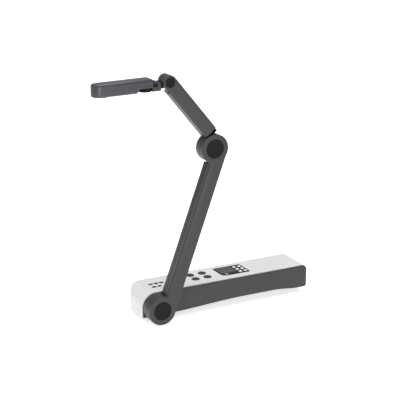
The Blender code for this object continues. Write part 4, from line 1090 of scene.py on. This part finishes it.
# Head
# Two slim shells in a metallic grey lacquer meet at a fine line along the side. The tip is a
# full round, and the heel steps up to clear the swivel plate and is rounded off on top.
head_low, head_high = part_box("head_top_shell")
body_low, body_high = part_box("head_bottom_shell")
HEAD_EDGE = 4.2 * MM
HEAD_BOTTOM = body_low.z - wrist_at.z
HEAD_TOP = head_high.z - wrist_at.z
HEAD_HALF = (head_high.y - head_low.y) / 2
HEAD_TIP = head_low.x - swivel_at.x
HEAD_HEEL = 13.8 * MM
HEAD_SPLIT = (head_low.z + body_high.z) / 2 - wrist_at.z
HEEL_STEP = 12.8 * MM
HEEL_SLOPE = 5 * MM
HEEL_ROUND_START = 5 * MM
HEEL_ROUND = (9.5 * MM, 9 * MM)
SEAM_HALF = 0.12 * MM
heel_floor = swivel_top + 0.3 * MM


def head_plan():
    """The head from above: a long bar with a round tip and a rounded heel."""
    swing = asin(HEAD_HALF / HEAD_HEEL) * 180 / pi
    points = arc((HEAD_TIP + HEAD_HALF, 0), HEAD_HALF, 90, 270, 40)
    return points + arc((0, 0), HEAD_HEEL, -swing, swing, 20)


def head_part(name, low, high):
    """The part of the head between two levels."""
    shell = slab(name, head_plan(), "Z", HEAD_BOTTOM, HEAD_TOP)
    rounded(shell, HEAD_EDGE, 8, 50)
    heel_end = 18 * MM
    over, fall = HEEL_ROUND
    above = [(2 * MM, HEAD_TOP + 3 * MM)]
    for step in range(11):
        turn = 0.15 * step
        above.append((HEEL_ROUND_START + over * sin(turn), HEAD_TOP - fall * (1 - cos(turn))))
    above += [(heel_end, HEAD_TOP - fall), (heel_end, HEAD_TOP + 3 * MM)]
    beneath = [(-HEEL_STEP - HEEL_SLOPE - 1.7 * MM, HEAD_BOTTOM - 2 * MM)]
    beneath += [(heel_end, HEAD_BOTTOM - 2 * MM), (heel_end, heel_floor)]
    beneath += [(-HEEL_STEP, heel_floor), (-HEEL_STEP - HEEL_SLOPE, HEAD_BOTTOM)]
    for outline in (above, beneath):
        carve(shell, "DIFFERENCE", slab("heel", outline, "Y", -20 * MM, 20 * MM))
    keep = slab("keep", oblong(-120 * MM, 40 * MM, -20 * MM, 20 * MM), "Z", low, high)
    return carve(shell, "INTERSECT", keep)


lacquer = plastic("head_lacquer", (0.031, 0.0305, 0.038), 0.3, 0.004, 0.03, 0.2, 0.5, 0.1)
head_top = head_part("head_top", HEAD_SPLIT + SEAM_HALF, HEAD_TOP + 2 * MM)
fit(head_top, lacquer, "head_plastic", "head", "head_top_shell", place=head_place)
head_bottom = head_part("head_bottom", HEAD_BOTTOM - 2 * MM, HEAD_SPLIT - SEAM_HALF)

# Lens and lamp under the head
# The lens sits behind a flat coated window in a black ring. Beside it a ribbed, frosted window
# spreads the light of a small lamp.
lens_low, lens_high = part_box("lens_bezel")
glass_low, glass_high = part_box("lens_glass")
lamp_low, lamp_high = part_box("lamp_window")
lens_x = (lens_low.x + lens_high.x) / 2 - swivel_at.x
ring_radius = (lens_high.x - lens_low.x) / 2
glass_radius = (glass_high.x - glass_low.x) / 2
ring_bottom = lens_low.z - wrist_at.z
ring_top = lens_high.z - wrist_at.z
glass_bottom = glass_low.z - wrist_at.z
glass_top = glass_high.z - wrist_at.z
LENS_HOLE_TOP = -2.4 * MM
hole_radius = ring_radius + SEAT_GAP
hole_profile = [(0, HEAD_BOTTOM - 2 * MM), (hole_radius, HEAD_BOTTOM - 2 * MM)]
hole_profile += [(hole_radius, LENS_HOLE_TOP), (0, LENS_HOLE_TOP)]
lens_hole = turned("hole", hole_profile, "Z", (lens_x, 0), 96)
lamp_centre = (lamp_low.x + lamp_high.x) / 2 - swivel_at.x
lamp_half = (lamp_high.x - lamp_low.x) / 2
lamp_wide = (lamp_high.y - lamp_low.y) / 2
lamp_bottom = lamp_low.z - wrist_at.z
lamp_outline = oblong(
    lamp_centre - lamp_half - SEAT_GAP,
    lamp_centre + lamp_half + SEAT_GAP,
    -lamp_wide - SEAT_GAP,
    lamp_wide + SEAT_GAP,
)
lamp_hole = slab("hole", lamp_outline, "Z", HEAD_BOTTOM - 2 * MM, HEAD_BOTTOM + 4 * MM)
carve(head_bottom, "DIFFERENCE", lens_hole, lamp_hole)
fit(head_bottom, lacquer, "head_plastic", "head", "head_bottom_shell", place=head_place)
lip_level = glass_bottom - SEAT_GAP
ring_profile = [(glass_radius + SEAT_GAP, ring_top), (glass_radius + SEAT_GAP, lip_level)]
ring_profile += [(glass_radius - 0.9 * MM, lip_level)]
ring_profile += [(glass_radius + 0.2 * MM, ring_bottom + 0.2 * MM)]
ring_profile += [(glass_radius + 0.6 * MM, ring_bottom), (ring_radius - 0.5 * MM, ring_bottom)]
ring_profile += [(ring_radius, ring_bottom + 0.4 * MM), (ring_radius, ring_top)]
ring = turned("lens_ring", ring_profile, "Z", (lens_x, 0), 96)
fit(ring, black_nylon, "black_plastic", "head", "lens_bezel", place=head_place)
glass_profile = [(0, glass_bottom), (glass_radius - 0.2 * MM, glass_bottom)]
glass_profile += [(glass_radius, glass_bottom + 0.2 * MM)]
glass_profile += [(glass_radius, glass_top), (0, glass_top)]
window = turned("lens_window", glass_profile, "Z", (lens_x, 0), 96)
coated = bpy.data.materials.new("coated_glass")
coated.use_nodes = True
coated_shader = coated.node_tree.nodes["Principled BSDF"]
coated_shader.inputs["Base Color"].default_value = (0.75, 0.8, 0.9, 1)
coated_shader.inputs["Transmission Weight"].default_value = 1.0
coated_shader.inputs["IOR"].default_value = 1.5
smears = coated.node_tree.nodes.new("ShaderNodeTexNoise")
smears.inputs["Scale"].default_value = 300
smudge = coated.node_tree.nodes.new("ShaderNodeMapRange")
smudge.inputs["To Min"].default_value = 0.01
smudge.inputs["To Max"].default_value = 0.08
coated.node_tree.links.new(smears.outputs["Fac"], smudge.inputs["Value"])
coated.node_tree.links.new(smudge.outputs["Result"], coated_shader.inputs["Roughness"])
fit(window, coated, "glass", "head", "lens_glass", place=head_place)
camera_low, camera_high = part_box("camera_module")
barrel_bottom = camera_low.z - wrist_at.z
barrel_top = camera_high.z - wrist_at.z
BARREL_STEPS = ((0, 2.2), (2.0, 2.2), (2.6, 1.6), (3.0, 1.6), (3.4, 0.9), (3.9, 0.9), (4.2, 0))
BARREL_RADIUS = 5 * MM
barrel_rings = [(radius * MM, barrel_bottom + rise * MM) for radius, rise in BARREL_STEPS]
barrel_rings += [(BARREL_RADIUS, barrel_bottom), (BARREL_RADIUS, barrel_top), (0, barrel_top)]
barrel = turned("camera_barrel", barrel_rings, "Z", (lens_x, 0), 72)
fit(barrel, black_nylon, "black_plastic", "head", "camera_module", place=head_place)
ELEMENT_RADIUS = 1.9 * MM
ELEMENT_BULGE = 0.9 * MM
element_edge = barrel_bottom + 2.0 * MM
element_back = barrel_bottom + 2.4 * MM
dome = [(0, element_edge - ELEMENT_BULGE)]
for turn in (0.4, 0.8, 1.2, 1.55):
    dome.append((ELEMENT_RADIUS * sin(turn), element_edge - ELEMENT_BULGE * cos(turn)))
dome += [(ELEMENT_RADIUS, element_back), (0, element_back)]
front_element = turned("front_element", dome, "Z", (lens_x, 0), 48)
element_glass = plastic("lens_coating", (0.02, 0.015, 0.05), 0.08, grain=0.0005, tone=0.3, wear=0)
fit(front_element, element_glass, "glass", "head", place=head_place)
RIBS = 13
lamp_valley = lamp_bottom + 0.35 * MM
lamp_top = lamp_high.z - wrist_at.z
rib_step = 2 * lamp_half / RIBS
rib_outline = []
for rib in range(RIBS):
    start = lamp_centre - lamp_half + rib_step * rib
    rib_outline += [(start, lamp_valley), (start + rib_step / 2, lamp_bottom)]
rib_outline += [(lamp_centre + lamp_half, lamp_valley), (lamp_centre + lamp_half, lamp_top)]
rib_outline += [(lamp_centre - lamp_half, lamp_top)]
diffuser = slab("lamp_diffuser", rib_outline, "Y", -lamp_wide, lamp_wide)
frosted = plastic("frosted_acrylic", (0.75, 0.75, 0.7), 0.3, tone=0.04, wear=0)
fit(diffuser, frosted, "lamp_lens", "head", "lamp_window", place=head_place)
